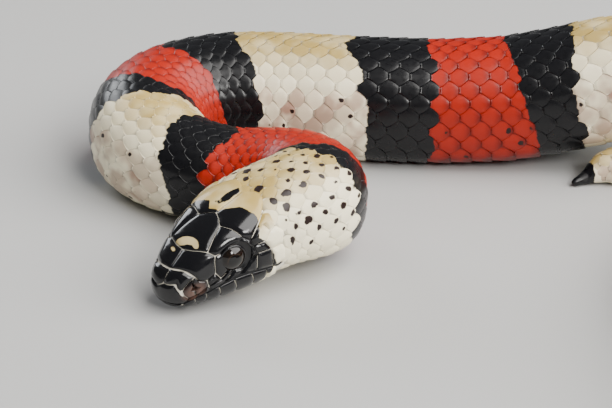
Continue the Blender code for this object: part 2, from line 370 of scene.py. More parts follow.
# %% Floor
FLOOR_SIZE = 4.0
FLOOR_COLOUR = (0.42, 0.42, 0.415, 1)
FLOOR_ROUGHNESS = 0.6
FLOOR_DROP = 0.0002


def add_floor():
    half = FLOOR_SIZE / 2
    mesh = bpy.data.meshes.new("floor")
    mesh.from_pydata([(-half, -half, 0), (half, -half, 0), (half, half, 0), (-half, half, 0)], [],
                     [(0, 1, 2, 3)])
    paper = bpy.data.materials.new("floor_paper")
    paper.use_nodes = True
    shader = paper.node_tree.nodes["Principled BSDF"]
    shader.inputs["Base Color"].default_value = FLOOR_COLOUR
    shader.inputs["Roughness"].default_value = FLOOR_ROUGHNESS
    mesh.materials.append(paper)
    floor = bpy.data.objects.new("floor", mesh)
    bpy.context.scene.collection.objects.link(floor)
    floor.location.z = -FLOOR_DROP


add_floor()
print("floor:", FLOOR_SIZE, "m across")

# %% [markdown]
# ## The light
# Soft lamps stand where the highlights on the scales say they were: a large one over the snake, one in front
# on the right that shows in the eye as a bright pane, and a weak one behind. A little plain light comes
# from all sides, or the shadows would be black.

# %% Lamps
WARM_WHITE = (1.0, 0.98, 0.95)
COOL_WHITE = (0.94, 0.97, 1.0)
SNAKE_MIDDLE = to_room((20, 0, 5))
# Each lamp: name, place from the snake's middle, width and height in metres, watts, colour.
LAMPS = [
    ("over_lamp", (0.36, -0.10, 0.50), 0.80, 0.75, 13.8, WARM_WHITE),
    ("front_lamp", (0.35, -0.75, 0.55), 0.25, 0.25, 6.0, WARM_WHITE),
    ("back_lamp", (-0.5, 0.5, 0.35), 0.4, 0.3, 2.8, COOL_WHITE),
]
AIR_COLOUR = (0.9, 0.92, 0.95, 1)
AIR_STRENGTH = 0.16


def add_lamp(name, offset, width, height, watts, colour):
    data = bpy.data.lights.new(name, "AREA")
    data.shape = "RECTANGLE"
    data.size = width
    data.size_y = height
    data.energy = watts
    data.color = colour
    lamp = bpy.data.objects.new(name, data)
    bpy.context.scene.collection.objects.link(lamp)
    lamp.location = SNAKE_MIDDLE + Vector(offset)
    lamp.rotation_euler = (SNAKE_MIDDLE - lamp.location).to_track_quat("-Z", "Y").to_euler()


def add_air():
    world = bpy.data.worlds.new("studio_air")
    world.use_nodes = True
    background = world.node_tree.nodes["Background"]
    background.inputs["Color"].default_value = AIR_COLOUR
    background.inputs["Strength"].default_value = AIR_STRENGTH
    bpy.context.scene.world = world


for lamp in LAMPS:
    add_lamp(*lamp)
add_air()
print("lamps:", [name for name, *_ in LAMPS])

# %% [markdown]
# ## The rings of colour
# A milk snake wears red, black and cream rings. On the real animal a ring's edge follows the scales and
# drifts along the flanks, so each edge here is a place on the back, a drift towards the belly, how far down
# the drift goes on, and a slant from one side to the other. The edges that can be seen were read one by one;
# the rings beyond them repeat the same cycle, each a little different.

# %% Rings along the body
CREAM, BLACK, RED = 0, 1, 2
# Each edge: place on the back, drift, how far down it goes on, slant, and the colour behind the edge.
SEEN_EDGES = [
    (25.2, 0, 0.6, 0, BLACK), (28.4, 0, 0.6, 0, RED), (43.4, 11, 0.33, 0, BLACK),
    (53.4, -5, 0.6, 0, CREAM), (60.6, 0, 0.6, -7, BLACK), (64.9, 0, 0.6, -10, RED),
    (74.2, 10, 0.5, 0, BLACK), (84.6, 8, 0.5, 0, CREAM), (101.3, 8, 0.42, 0, BLACK),
    (113.7, 1, 0.6, 0, RED), (126.3, 4.2, 0.7, 0, BLACK), (137.0, -3.3, 0.45, 0, CREAM),
]
# Each step of the cycle: length of the ring before the edge, and the colour behind the edge.
CYCLE = [(17.0, BLACK), (10.8, RED), (15.6, BLACK), (10.6, CREAM)]
CYCLE_SPREAD = 0.07
CYCLE_SEED = 11
DRIFT_RANGE = (-3, 8)
DRIFT_REACH = 0.6
SLANT_RANGE = (-3, 3)
SLANT_REACH = 0.3
TAIL_EDGES = [(742, RED), (749, BLACK), (758, CREAM), (770, BLACK), (781, CREAM), (792, BLACK),
              (803, CREAM), (813, BLACK), (823, CREAM), (842.8, BLACK)]
TAIL_START = 731.0
TAIL_DRIFT = 2
# No edge drifts or slants further than this from its place on the back, in millimetres.
EDGE_REACH = 15.0


def ring_edges():
    """The edges that were read, then the cycle down to the tail, the tail's own, and one past the tip."""
    chance = np.random.default_rng(CYCLE_SEED)
    edges = list(SEEN_EDGES)
    place = SEEN_EDGES[-1][0]
    step = 0
    while True:
        length, colour = CYCLE[step % len(CYCLE)]
        place += length * chance.uniform(1 - CYCLE_SPREAD, 1 + CYCLE_SPREAD)
        if place > TAIL_START:
            break
        drift = chance.uniform(*DRIFT_RANGE)
        slant = chance.uniform(*SLANT_RANGE)
        edges.append((place, drift, DRIFT_REACH, slant, colour))
        step += 1
    edges += [(place, TAIL_DRIFT, DRIFT_REACH, 0, colour) for place, colour in TAIL_EDGES]
    return edges + [(BODY_LENGTH + EDGE_REACH, 0, DRIFT_REACH, 0, CREAM)]


RING_EDGES = ring_edges()


def edge_place(edge, turn):
    place, drift, reach, slant, _ = edge
    leaning = slant * np.clip(turn, -SLANT_REACH, SLANT_REACH)
    return place + drift * np.minimum(np.abs(turn), reach) + leaning


print("ring edges:", len(RING_EDGES))

# %% [markdown]
# ## The mask of the head
# The front of the head is black as far as a wavy edge across the shields behind the eyes, and the lower jaw
# is black a little less far. The edge is a short table of turn and place, and the black ends further forward
# on the far side than on the near one. One dark oval and a small spot lie on the pale part, and four ovals
# make a tan blotch on the crown.

# %% Marks of the head
MASK_TURNS = [-1, -0.86, -0.70, -0.62, -0.58, -0.50, -0.40, -0.33, -0.25, -0.17, -0.11, -0.06, 0, 0.09,
              0.20, 0.27, 0.33, 0.40, 0.50, 0.58, 0.62, 0.70, 0.86, 1]
MASK_PLACES = [9.4, 9.6, 10.3, 12.0, 13.3, 13.2, 12.4, 11.2, 10.2, 11.0, 11.5, 10.5, 11.0, 12.8,
               13.5, 12.9, 12.0, 12.9, 13.3, 13.3, 12.0, 10.3, 9.6, 9.4]
HEAD_REACH = 22.0
# Width of the soft step that every edge of a mark is stored as, in millimetres.
EDGE_RAMP = 1.6
# Each mark: place, turn, half length, half width in millimetres, and its lean over the map.
DARK_MARKS = [(13.6, -0.032, 1.75, 0.5, 0.1), (11.9, -0.06, 0.35, 0.22, 0.5)]
TAN_MARKS = [(5.5, -0.027, 0.64, 1.5, -0.62), (5.85, 0.035, 0.5, 0.9, -0.35), (5.8, 0.088, 0.4, 0.62, 0.3),
             (4.0, -0.078, 0.26, 0.40, 0.3)]


def ramp_over_edge(inward):
    """A share that is one half on an edge and rises inward; the shader cuts it sharp."""
    return np.clip(0.5 + inward / EDGE_RAMP, 0, 1)


def in_marks(marks, place, turn):
    """Share inside any of the oval marks."""
    inside = np.zeros(np.shape(place))
    for mark_place, mark_turn, long, wide, lean in marks:
        along = place - mark_place
        across = (turn - mark_turn) * half_girth(place)
        away = np.hypot((along + lean * across) / long, (across - lean * along) / wide)
        inside = np.maximum(inside, ramp_over_edge((1 - away) * wide))
    return inside


def in_mask(place, turn):
    """Share inside the black mask of the head."""
    edge = np.interp(turn, MASK_TURNS, MASK_PLACES)
    return ramp_over_edge(edge - place)


print("black as far as", float(np.interp(0, MASK_TURNS, MASK_PLACES)), "mm on the crown")

# %% [markdown]
# ## Black and red at any point
# Rings and head come together here. Skin, scales, plates and shields all ask this one function, so their
# markings meet without a break.

# %% Black and red
def in_rings(colour, place, turn):
    """Share inside the rings of one colour."""
    inside = np.zeros(np.shape(place))
    for edge, following in zip(RING_EDGES, RING_EDGES[1:]):
        near = edge[0] < np.max(place) + EDGE_REACH and following[0] > np.min(place) - EDGE_REACH
        if edge[-1] == colour and near:
            inward = np.minimum(place - edge_place(edge, turn), edge_place(following, turn) - place)
            inside = np.maximum(inside, ramp_over_edge(inward))
    return inside


def marks_at(place, turn):
    """Black and red shares at each point, rings and head together."""
    head = np.minimum(in_mask(place, turn), 1 - in_marks(TAN_MARKS, place, turn))
    head = np.maximum(head, in_marks(DARK_MARKS, place, turn))
    black = np.where(place < HEAD_REACH, head, in_rings(BLACK, place, turn))
    return black, np.where(place < HEAD_REACH, 0.0, in_rings(RED, place, turn))


black, red = marks_at(np.array([5.0, 35.0]), np.array([0.3, 0.0]))
print("on the snout and in the first red ring: black", black, "red", red)

# %% [markdown]
# ## What the shaders read
# Three small records go with every point of the scales, and the shaders mix the colours from them:
# `marks` holds the shares of black and red and the tan of the back, `plate` holds where the point lies on
# its own scale (base to tip, side to side) and a random number for the scale, and `flecks` holds the size of
# the scale's dark fleck and how strong its smudge and its brown are. Shader nodes are small boxes with
# sockets, and a node group is a box made of boxes, with named sockets of its own.

# %% Helpers for groups and sockets
def new_group(name, inputs, outputs):
    group = bpy.data.node_groups.new(name, "ShaderNodeTree")
    for label, kind, value in inputs:
        socket = group.interface.new_socket(name=label, in_out="INPUT", socket_type=kind)
        socket.default_value = value
    for label, kind in outputs:
        group.interface.new_socket(name=label, in_out="OUTPUT", socket_type=kind)
    return group, group.nodes.new("NodeGroupInput"), group.nodes.new("NodeGroupOutput")


def join(tree, source, target):
    tree.links.new(source, target)


def feed(tree, socket, value):
    """Link a socket into another, or set a plain value on it."""
    if isinstance(value, bpy.types.NodeSocket):
        join(tree, value, socket)
    else:
        socket.default_value = value


print("sockets can now be joined and fed")

# %% [markdown]
# ## Small sums in a shader
# Each of these helpers adds one box: a sum, a soft step, a mix of two colours, a record or some noise.

# %% Helpers for values and colours
def maths(tree, operation, *values):
    node = tree.nodes.new("ShaderNodeMath")
    node.operation = operation
    for socket, value in zip(node.inputs, values):
        feed(tree, socket, value)
    return node.outputs[0]


def ramp(tree, value, low, high, to_low=0.0, to_high=1.0):
    """A soft step: where the value goes from low to high, the result goes from to_low to to_high."""
    node = tree.nodes.new("ShaderNodeMapRange")
    node.interpolation_type = "SMOOTHSTEP"
    for name, setting in (("From Min", low), ("From Max", high), ("To Min", to_low), ("To Max", to_high)):
        feed(tree, node.inputs[name], setting)
    feed(tree, node.inputs["Value"], value)
    return node.outputs["Result"]


def blend_colour(tree, share, first, second):
    """The first colour where the share is 0, the second where it is 1."""
    node = tree.nodes.new("ShaderNodeMix")
    node.data_type = "RGBA"
    # The mix node has sockets for every kind of data; 6, 7 and 2 are the ones for colours.
    feed(tree, node.inputs[0], share)
    feed(tree, node.inputs[6], first)
    feed(tree, node.inputs[7], second)
    return node.outputs[2]


def attribute(tree, name):
    """The three numbers of a record."""
    read = tree.nodes.new("ShaderNodeAttribute")
    read.attribute_name = name
    parts = tree.nodes.new("ShaderNodeSeparateXYZ")
    join(tree, read.outputs["Vector"], parts.inputs[0])
    return parts.outputs


def grain(tree, scale, detail=3.0):
    """Noise that stays with the object."""
    place = tree.nodes.new("ShaderNodeTexCoord")
    noise = tree.nodes.new("ShaderNodeTexNoise")
    noise.inputs["Scale"].default_value = scale
    noise.inputs["Detail"].default_value = detail
    join(tree, place.outputs["Object"], noise.inputs["Vector"])
    return noise.outputs["Fac"]


print("records for the shaders: marks, plate, flecks")

# %% [markdown]
# ## Pale scales and red scales
# A pale scale is cream, more tan over the back and smudged on the flank, with a paler rim. A red scale is
# deeper at its tip and its sides. The colours are given as linear light from 0 to 1, so they look darker as
# numbers than they do in the picture.

# %% Cream and red
CREAM_COLOUR = (0.95, 0.87, 0.63, 1)
TAN_COLOUR = (0.42, 0.295, 0.085, 1)
SMUDGE_COLOUR = (0.36, 0.21, 0.15, 1)
# Pale rims of cream scales; on the head's bare skin the same colour is partly painted highlight for glints on
# the shields' edges.
PALE_RIM_AND_GLINT_COLOUR = (0.92, 0.86, 0.72, 1)
RED_COLOUR = (0.36, 0.010, 0.0003, 1)
DEEP_RED_COLOUR = (0.10, 0.0015, 0.0004, 1)
# Each step: where it starts, where it ends, and, unless it runs from 0 to 1, what it runs from and to.
TAN_PATCHES = (0.30, 0.62, 0.72, 1.0)
SMUDGE_PATCHES = (0.32, 0.58)
SIDE_RIM = (0.72, 0.98)
TIP_RIM = (0.80, 1.0)
DEEP_TIP = (0.0, 0.9, 0.0, 0.8)
DEEP_SIDE = (0.5, 1.0, 0.0, 0.6)
DEEP_CHANCE = (0.0, 1.0, -0.12, 0.12)


def cream_part(group, broad, back, smudge, along, side, rim):
    tan_share = maths(group, "MULTIPLY", back, ramp(group, broad, *TAN_PATCHES))
    cream = blend_colour(group, tan_share, CREAM_COLOUR, TAN_COLOUR)
    smudged = maths(group, "MULTIPLY", smudge, ramp(group, broad, *SMUDGE_PATCHES))
    cream = blend_colour(group, smudged, cream, SMUDGE_COLOUR)
    edge = maths(group, "MAXIMUM", ramp(group, side, *SIDE_RIM), ramp(group, along, *TIP_RIM))
    return blend_colour(group, maths(group, "MULTIPLY", edge, rim), cream, PALE_RIM_AND_GLINT_COLOUR)


def red_part(group, along, side, chance):
    deep = maths(group, "MAXIMUM", ramp(group, along, *DEEP_TIP), ramp(group, side, *DEEP_SIDE))
    deep = maths(group, "ADD", deep, ramp(group, chance, *DEEP_CHANCE))
    return blend_colour(group, deep, RED_COLOUR, DEEP_RED_COLOUR)


print("pale and red recipes ready")

# %% [markdown]
# ## Flecks and black scales
# A fleck is an oval near the tip of a scale, with a ragged edge that the fine grain gives it. Black scales
# turn brown in patches where the brown record says so, which is on the snout.

# %% Flecks and black
BLACK_COLOUR = (0.004, 0.004, 0.005, 1)
BROWN_COLOUR = (0.10, 0.052, 0.038, 1)
FLECK_MIDDLE = 0.50
FLECK_STRETCH = 0.85
FLECK_RAGGED = (0.25, 0.75, -0.16, 0.16)
FLECK_CUT = (-0.04, 0.06, 1.0, 0.0)
LEAST_FLECK = (0.02, 0.08)
BROWN_CUT = (0.3, 0.9, 0.0, 0.9)
BROWN_PATCHES = (0.35, 0.6, 0.4, 1.0)


def fleck_part(group, fine, fleck, along, across):
    """Share of the fleck: its radius is the record's number."""
    from_middle = maths(group, "MULTIPLY", maths(group, "SUBTRACT", along, FLECK_MIDDLE), FLECK_STRETCH)
    squares = [maths(group, "MULTIPLY", part, part) for part in (from_middle, across)]
    reach = maths(group, "SQRT", maths(group, "ADD", *squares))
    ragged = maths(group, "ADD", reach, ramp(group, fine, *FLECK_RAGGED))
    inside = ramp(group, maths(group, "SUBTRACT", ragged, fleck), *FLECK_CUT)
    return maths(group, "MULTIPLY", inside, ramp(group, fleck, *LEAST_FLECK))


def black_part(group, broad, brown):
    patches = ramp(group, broad, *BROWN_PATCHES)
    brown_share = maths(group, "MULTIPLY", ramp(group, brown, *BROWN_CUT), patches)
    return blend_colour(group, brown_share, BLACK_COLOUR, BROWN_COLOUR)


print("fleck and black recipes ready")

# %% [markdown]
# ## One node group for all the markings
# The group cuts the soft steps of the records into sharp, slightly ragged edges and lays the parts over each
# other: cream, red, flecks, black. Every part of the skin uses it, so rings run on without a break from
# scale to skin to belly. It also darkens the base of every scale and plate, where the one before lies over
# it: that is painted shade. Its outputs are only a colour, the dark share and a height for the relief.

# %% The node group of markings
FLECK_COLOUR = (0.012, 0.004, 0.003, 1)
FINE_GRAIN = 900.0
BROAD_GRAIN = 260.0
BROAD_DETAIL = 2.0
BLACK_RAGGED = (0.3, 0.7, -0.06, 0.06)
BLACK_CUT = (0.46, 0.54)
RED_CUT = (0.2, 0.35)
CHANCE_SHADE = (0.0, 1.0, 0.90, 1.05)
# Painted shade: the base of each scale and plate, where the one before lies over it, is darkened.
PAINTED_BASE_SHADE = (-1.1, -0.7, 0.55, 1.0)


def markings_group():
    group, given, result = new_group(
        "Snake markings",
        [("Rim", "NodeSocketFloat", 0.5), ("Tone", "NodeSocketFloat", 1.0)],
        [("Colour", "NodeSocketColor"), ("Dark", "NodeSocketFloat"), ("Height", "NodeSocketFloat")],
    )
    black_share, red_share, back = attribute(group, "marks")
    along, across, chance = attribute(group, "plate")
    fleck, smudge, brown = attribute(group, "flecks")
    side = maths(group, "ABSOLUTE", across)
    fine = grain(group, FINE_GRAIN)
    broad = grain(group, BROAD_GRAIN, BROAD_DETAIL)
    ragged_black = maths(group, "ADD", black_share, ramp(group, fine, *BLACK_RAGGED))
    black = ramp(group, ragged_black, *BLACK_CUT)
    colour = cream_part(group, broad, back, smudge, along, side, given.outputs["Rim"])
    red_colour = red_part(group, along, side, chance)
    colour = blend_colour(group, ramp(group, red_share, *RED_CUT), colour, red_colour)
    colour = blend_colour(group, fleck_part(group, fine, fleck, along, across), colour, FLECK_COLOUR)
    colour = blend_colour(group, black, colour, black_part(group, broad, brown))
    # Random tone of each scale, times painted shade at its base under the scale before.
    shade = maths(group, "MULTIPLY", ramp(group, chance, *CHANCE_SHADE), ramp(group, along, *PAINTED_BASE_SHADE))
    toned = group.nodes.new("ShaderNodeVectorMath")
    toned.operation = "SCALE"
    feed(group, toned.inputs[0], colour)
    feed(group, toned.inputs["Scale"], maths(group, "MULTIPLY", shade, given.outputs["Tone"]))
    join(group, toned.outputs[0], result.inputs["Colour"])
    join(group, black, result.inputs["Dark"])
    join(group, fine, result.inputs["Height"])
    return group


MARKINGS = markings_group()
print("node group:", MARKINGS.name, "with", len(MARKINGS.nodes), "nodes")

# %% [markdown]
# ## The finishes
# Scales are smooth keratin: a colour under a clear, slightly uneven gloss. The same recipe serves the scales,
# the belly plates, the head shields and the bare skin between them, each with its own gloss and tone. Black
# scales are a little glossier than pale ones, so the roughness follows the dark share.

# %% Scale finishes
GLOSS_GRAIN = 1500.0
GLOSS_UNEVEN = (0.3, 0.7, -0.03, 0.04)
RELIEF_DEPTH = 0.00006
COAT_ROUGHNESS = 0.12


def finish(name, roughness, dark_roughness, coat, bump, rim, tone, specular=0.5):
    made = bpy.data.materials.new(name)
    made.use_nodes = True
    tree = made.node_tree
    shader = tree.nodes["Principled BSDF"]
    group = tree.nodes.new("ShaderNodeGroup")
    group.node_tree = MARKINGS
    group.inputs["Rim"].default_value = rim
    group.inputs["Tone"].default_value = tone
    join(tree, group.outputs["Colour"], shader.inputs["Base Color"])
    gloss = ramp(tree, group.outputs["Dark"], 0.0, 1.0, roughness, dark_roughness)
    uneven = ramp(tree, grain(tree, GLOSS_GRAIN), *GLOSS_UNEVEN)
    join(tree, maths(tree, "ADD", gloss, uneven), shader.inputs["Roughness"])
    relief = tree.nodes.new("ShaderNodeBump")
    relief.inputs["Strength"].default_value = bump
    relief.inputs["Distance"].default_value = RELIEF_DEPTH
    join(tree, group.outputs["Height"], relief.inputs["Height"])
    join(tree, relief.outputs["Normal"], shader.inputs["Normal"])
    shader.inputs["Coat Weight"].default_value = coat
    shader.inputs["Coat Roughness"].default_value = COAT_ROUGHNESS
    shader.inputs["Specular IOR Level"].default_value = specular
    return made


SCALE_FINISH = finish("back_scales", roughness=0.42, dark_roughness=0.30, coat=0.04, bump=0.35, rim=0.5,
                      tone=1.0, specular=0.32)
BELLY_FINISH = finish("belly_plates", roughness=0.34, dark_roughness=0.28, coat=0.20, bump=0.25, rim=0.3,
                      tone=0.95)
SHIELD_FINISH = finish("head_shields", roughness=0.34, dark_roughness=0.17, coat=0.30, bump=0.30, rim=0.15,
                       tone=1.0, specular=0.34)
# On the head the bare skin takes the whole pale rim: its own pale colour, made whiter as painted highlight
# for the glints along the shields' edges.
SKIN_FINISH = finish("bare_skin", roughness=0.45, dark_roughness=0.50, coat=0.0, bump=0.6, rim=1.0,
                     tone=0.9)
print("finishes:", [made.name for made in (SCALE_FINISH, BELLY_FINISH, SHIELD_FINISH, SKIN_FINISH)])

# %% [markdown]
# ## Making a piece from arrays
# All the pieces are big meshes worked out as arrays. This helper turns arrays of points and faces into an
# object, stores the three records on its points, and gives each face corner its place on the bake map.

# %% A helper for pieces
RECORDS = ("marks", "plate", "flecks")
NO_CORNER = -1


def make_piece(name, points, faces, records, bake, material):
    """A mesh object. Faces are rows of corners; NO_CORNER in the last column marks a triangle."""
    mesh = bpy.data.meshes.new(name)
    used = faces != NO_CORNER
    sizes = used.sum(1)
    corners = faces[used]
    mesh.vertices.add(len(points))
    mesh.vertices.foreach_set("co", points.astype(np.float32).ravel())
    mesh.loops.add(len(corners))
    mesh.loops.foreach_set("vertex_index", corners.astype(np.int32))
    mesh.polygons.add(len(faces))
    mesh.polygons.foreach_set("loop_start", np.concatenate([[0], np.cumsum(sizes)[:-1]]).astype(np.int32))
    mesh.update(calc_edges=True)
    for label, values in zip(RECORDS, records):
        stored = mesh.attributes.new(label, "FLOAT_VECTOR", "POINT")
        stored.data.foreach_set("vector", values.astype(np.float32).ravel())
    layer = mesh.uv_layers.new(name="OFBake")
    flat = bake[corners] if len(bake) == len(points) else bake[used]
    layer.data.foreach_set("uv", flat.astype(np.float32).ravel())
    mesh.materials.append(material)
    mesh.shade_smooth()
    mesh.validate()
    made = bpy.data.objects.new(name, mesh)
    bpy.context.scene.collection.objects.link(made)
    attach(made, "root")
    print(name + ":", int((sizes - 2).sum()), "triangles")
    return made


def grid_faces(rows, columns, closed=False):
    """Four-cornered faces between the points of a grid, row by row."""
    across = columns if closed else columns - 1
    row, column = np.meshgrid(np.arange(rows - 1), np.arange(across), indexing="ij")
    after = (column + 1) % columns
    corners = [row * columns + column, row * columns + after, (row + 1) * columns + after,
               (row + 1) * columns + column]
    return np.stack([corner.ravel() for corner in corners], -1)


print("every piece stores", RECORDS, "and the map OFBake")

# %% [markdown]
# ## The coat's depth and the back's tan
# Scales are thin. Their depth grows with their width, so it is small on the neck and the tail. The number of
# scale rows round the body falls towards the tail, and the belly plates take the rest of the girth. Over the
# back the pale rings are tan.

# %% Rows and depths
BELLY_SHARE = 0.26
BACK_EDGE = 1 - BELLY_SHARE
# Where each number of rows starts, and the pitch of the rings of scales at stations along the body.
ROW_BLOCKS = [(9.0, 21), (560.0, 19), (650.0, 17), (731.0, 13), (765.0, 11), (795.0, 9), (820.0, 7)]
PITCHES = [(0, 1.85), (25, 1.95), (48, 2.0), (66, 2.4), (110, 3.0), (180, 3.25), (560, 3.3), (680, 3.0),
           (731, 2.6), (800, 2.2), (847, 1.7)]
DEPTH_PER_WIDTH = 0.135
DEPTH_BLUR = 12.0
TAN_LOW, TAN_HIGH = 0.10, 0.36


def rows_at(place):
    """Number of scale rows from one edge of the belly over the back to the other."""
    starts, counts = zip(*ROW_BLOCKS)
    block = np.searchsorted(starts, place, side="right") - 1
    return np.array(counts)[np.maximum(block, 0)]


def row_width(place):
    """Width of one scale row over the skin, in millimetres."""
    return 2 * BACK_EDGE * half_girth(place) / rows_at(place)


COAT_DEPTH = blurred(DEPTH_PER_WIDTH * row_width(ALONG), DEPTH_BLUR)


def coat_depth(place):
    return at(COAT_DEPTH, place)


def pitch_at(place):
    places, lengths = zip(*PITCHES)
    return np.interp(place, places, lengths)


def back_tan(turn):
    """How tan the pale rings are: fully on the middle of the back, not at all on the flank."""
    return 1 - smoothstep(TAN_LOW, TAN_HIGH, np.abs(turn))


print("coat depth at mid-body:", round(float(coat_depth(MID_BODY)), 2), "mm")

# %% [markdown]
# ## The line of the mouth
# The mouth is closed. Its line was drawn on the side of the head as distance back against height, so here it
# is found on the map: at every place, the turn where the surface crosses that height.

# %% The mouth on the map
MOUTH_LINE = [
    (-3, -0.35), (1, -0.45), (3, -0.2), (5.6, 0.15), (8, 0.35), (10, 0.2), (12, -0.35),
    (14, -1.0),
]
MOUTH_END = 14.6
TINY = 1e-9


def mouth_turns():
    """The turn of the line of the mouth at every place of the map down to the corner."""
    back = (MAP_POINTS - SNOUT) @ HEAD_BACK
    up = (MAP_POINTS - SNOUT) @ HEAD_UP
    middle = TURN_COUNT // 2
    places, heights = zip(*MOUTH_LINE)
    over_line = up[:, middle:] - np.interp(back[:, middle:], places, heights)
    over_line[:, -1] = -1
    after = np.argmax(over_line < 0, axis=1)
    row = np.arange(len(over_line))
    before = np.maximum(after - 1, 0)
    part = over_line[row, before] / np.maximum(over_line[row, before] - over_line[row, after], TINY)
    turn_step = MAP_TURNS[1] - MAP_TURNS[0]
    return MAP_TURNS[middle:][before] + np.clip(part, 0, 1) * (after - before) * turn_step


MOUTH_TURNS = mouth_turns()


def mouth_turn(place):
    return np.interp(place, MAP_PLACES, MOUTH_TURNS)


print("the mouth's line at 8 mm lies at turn", round(float(mouth_turn(8.0)), 2))

# %% [markdown]
# ## Marks of the skin
# The skin is seen only as fine lines between the scales: pale between the head's shields, and dark in
# the line of the mouth, in the nostrils and round the eyes. The pale between the shields is partly the skin's
# own colour and partly painted highlight, made whiter to stand for glints on the shields' edges. Under each
# nostril it also dips, to make room for the pit.

# %% Marks and dents of the skin
NOSTRIL_PLACE = 2.85
NOSTRIL_TURN = 0.45
NOSTRIL_DEPTH = 0.8
NOSTRIL_DENT = 1.0
EYE_RIM_PLACE, EYE_RIM_TURN = 9.1, 0.385
# Half widths of the dark parts of the skin, in millimetres.
MOUTH_DARK = 0.42
NOSTRIL_DARK = 0.95
EYE_DARK = 2.6
SKIN_TAN = 0.5


def distance_from(spot_place, spot_turn, place, turn):
    """Millimetres over the skin from a spot that is on both sides of the head."""
    return np.hypot(place - spot_place, (np.abs(turn) - spot_turn) * half_girth(place))


def nostril_dent(place, turn):
    """How far the skin dips under the nostril."""
    away = distance_from(NOSTRIL_PLACE, NOSTRIL_TURN, place, turn) / NOSTRIL_DENT
    return NOSTRIL_DEPTH * np.exp(-away ** 4)


def skin_marks(place, turn):
    black, red = marks_at(place, turn)
    from_line = np.abs(np.abs(turn) - mouth_turn(place)) * half_girth(place)
    from_nostril = distance_from(NOSTRIL_PLACE, NOSTRIL_TURN, place, turn)
    from_eye = distance_from(EYE_RIM_PLACE, EYE_RIM_TURN, place, turn)
    inward = np.minimum(MOUTH_DARK - from_line, MOUTH_END - place)
    inward = np.maximum(inward, NOSTRIL_DARK - from_nostril)
    inward = np.maximum(inward, EYE_DARK - from_eye)
    on_head = place < HEAD_REACH
    black = np.where(on_head, ramp_over_edge(inward), black)
    return np.stack([black, red, np.where(on_head, 0.0, back_tan(turn) * SKIN_TAN)], -1)


print("deepest dent:", round(float(nostril_dent(NOSTRIL_PLACE, NOSTRIL_TURN)), 2), "mm")

# %% [markdown]
# ## The skin
# One closed tube from the snout to the tip of the tail, a coat's depth inside the solids. It stands for all
# the solids of flesh, so no cut between them shows. On the bake map the long tube is cut into eight strips.

# %% The skin
SKIN_STEP = 1.0
HEAD_SKIN_STEP = 0.3
SKIN_SIDES = 72
HEAD_DEPTH = 0.24
# The skin lies a hair deeper than the coat, but never deeper than a share of the body's radius.
DEEPER = 1.02
DEEPEST_SHARE = 0.6
SKIN_STRIPS = 8
STRIP_STRETCH = 1.03
STRIP_MARGIN = 0.02


def skin_bake(places, turn_count):
    """Bake places of the skin's faces: strips side by side, each a length of the body."""
    strip = BODY_LENGTH / SKIN_STRIPS
    rows, columns = np.divmod(grid_faces(len(places), turn_count), turn_count)
    lane = np.minimum(places[rows.min(1)] // strip, SKIN_STRIPS - 1)[:, None]
    u = (places[rows] - lane * strip) / (strip * STRIP_STRETCH)
    v = (lane + STRIP_MARGIN + (1 - 2 * STRIP_MARGIN) * columns / (turn_count - 1)) / SKIN_STRIPS
    return np.stack([u, v], -1)


def add_skin():
    head = np.arange(SNOUT_ROUND, HEAD_REACH, HEAD_SKIN_STEP)
    body = np.arange(HEAD_REACH, BODY_LENGTH - 2 * TAIL_ROUND, SKIN_STEP)
    places = np.concatenate([SNOUT_PLACES[::3], head, body, TAIL_PLACES[::3]])
    turns = np.linspace(-1, 1, SKIN_SIDES + 1)
    place, turn = np.meshgrid(places, turns, indexing="ij")
    depth = np.where(place < HEAD_REACH, HEAD_DEPTH, coat_depth(place)) * DEEPER
    depth = np.minimum(depth, DEEPEST_SHARE * half_girth(place) / np.pi) + nostril_dent(place, turn)
    points = over_body(place, turn, -depth).reshape(-1, 3)
    # Under the belly the tube is closed: the faces use the first column again as the last one.
    closed = np.arange(len(points)).reshape(len(places), len(turns))
    closed[:, -1] = closed[:, 0]
    faces = closed.ravel()[grid_faces(len(places), len(turns))]
    marks = skin_marks(place, turn).reshape(-1, 3)
    # On the head the skin counts as a scale's tip, which gives it the pale rim's colour: partly the skin's
    # own pale, partly painted highlight for the glints on the shields' edges.
    plate = np.stack([place < HEAD_REACH, 0 * place, 0 * place + 0.5], -1).reshape(-1, 3)
    return make_piece("skin", points, faces, (marks, plate, np.zeros_like(marks)),
                      skin_bake(places, len(turns)), SKIN_FINISH)


skin = add_skin()
flesh = [name for name in frame["nodes"] if not name.startswith("eye_")]
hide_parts(*flesh)
print("the skin stands for", len(flesh), "solids")

# %% [markdown]
# ## One scale
# A scale is a small domed plate. Its base is tucked under the tips before it, and its own rounded tip lies
# over the bases behind. One plate is worked out here as a little grid, with a turned-down rim and an
# underside, and is later copied by arrays to every place of the rows. Its length is counted in pitches, its
# width in rows, and its height in coat depths: 0 is the surface of the solids and -1 is the skin.

# %% One scale
SCALE_ALONG = np.array([-0.60, -0.35, -0.10, 0.06, 0.22, 0.37, 0.49, 0.57])
SCALE_HALF_WIDTH = np.array([0.60, 0.76, 0.84, 0.80, 0.67, 0.48, 0.29, 0.10])
SCALE_ACROSS = np.array([-1.0, -0.80, -0.42, 0.0, 0.42, 0.80, 1.0])
TOP_AT_BASE = -0.95
TOP_AT_CREST = -0.06
CREST = 0.35
TIP_BEND = 0.06
SCALE_DOME = 0.52
FLAT_AT_TIP = 0.3
RIM_DROP = 0.55
RIM_FLARE = 1.03
LOWEST_RIM = -1.25
UNDER_HEIGHT = -1.1


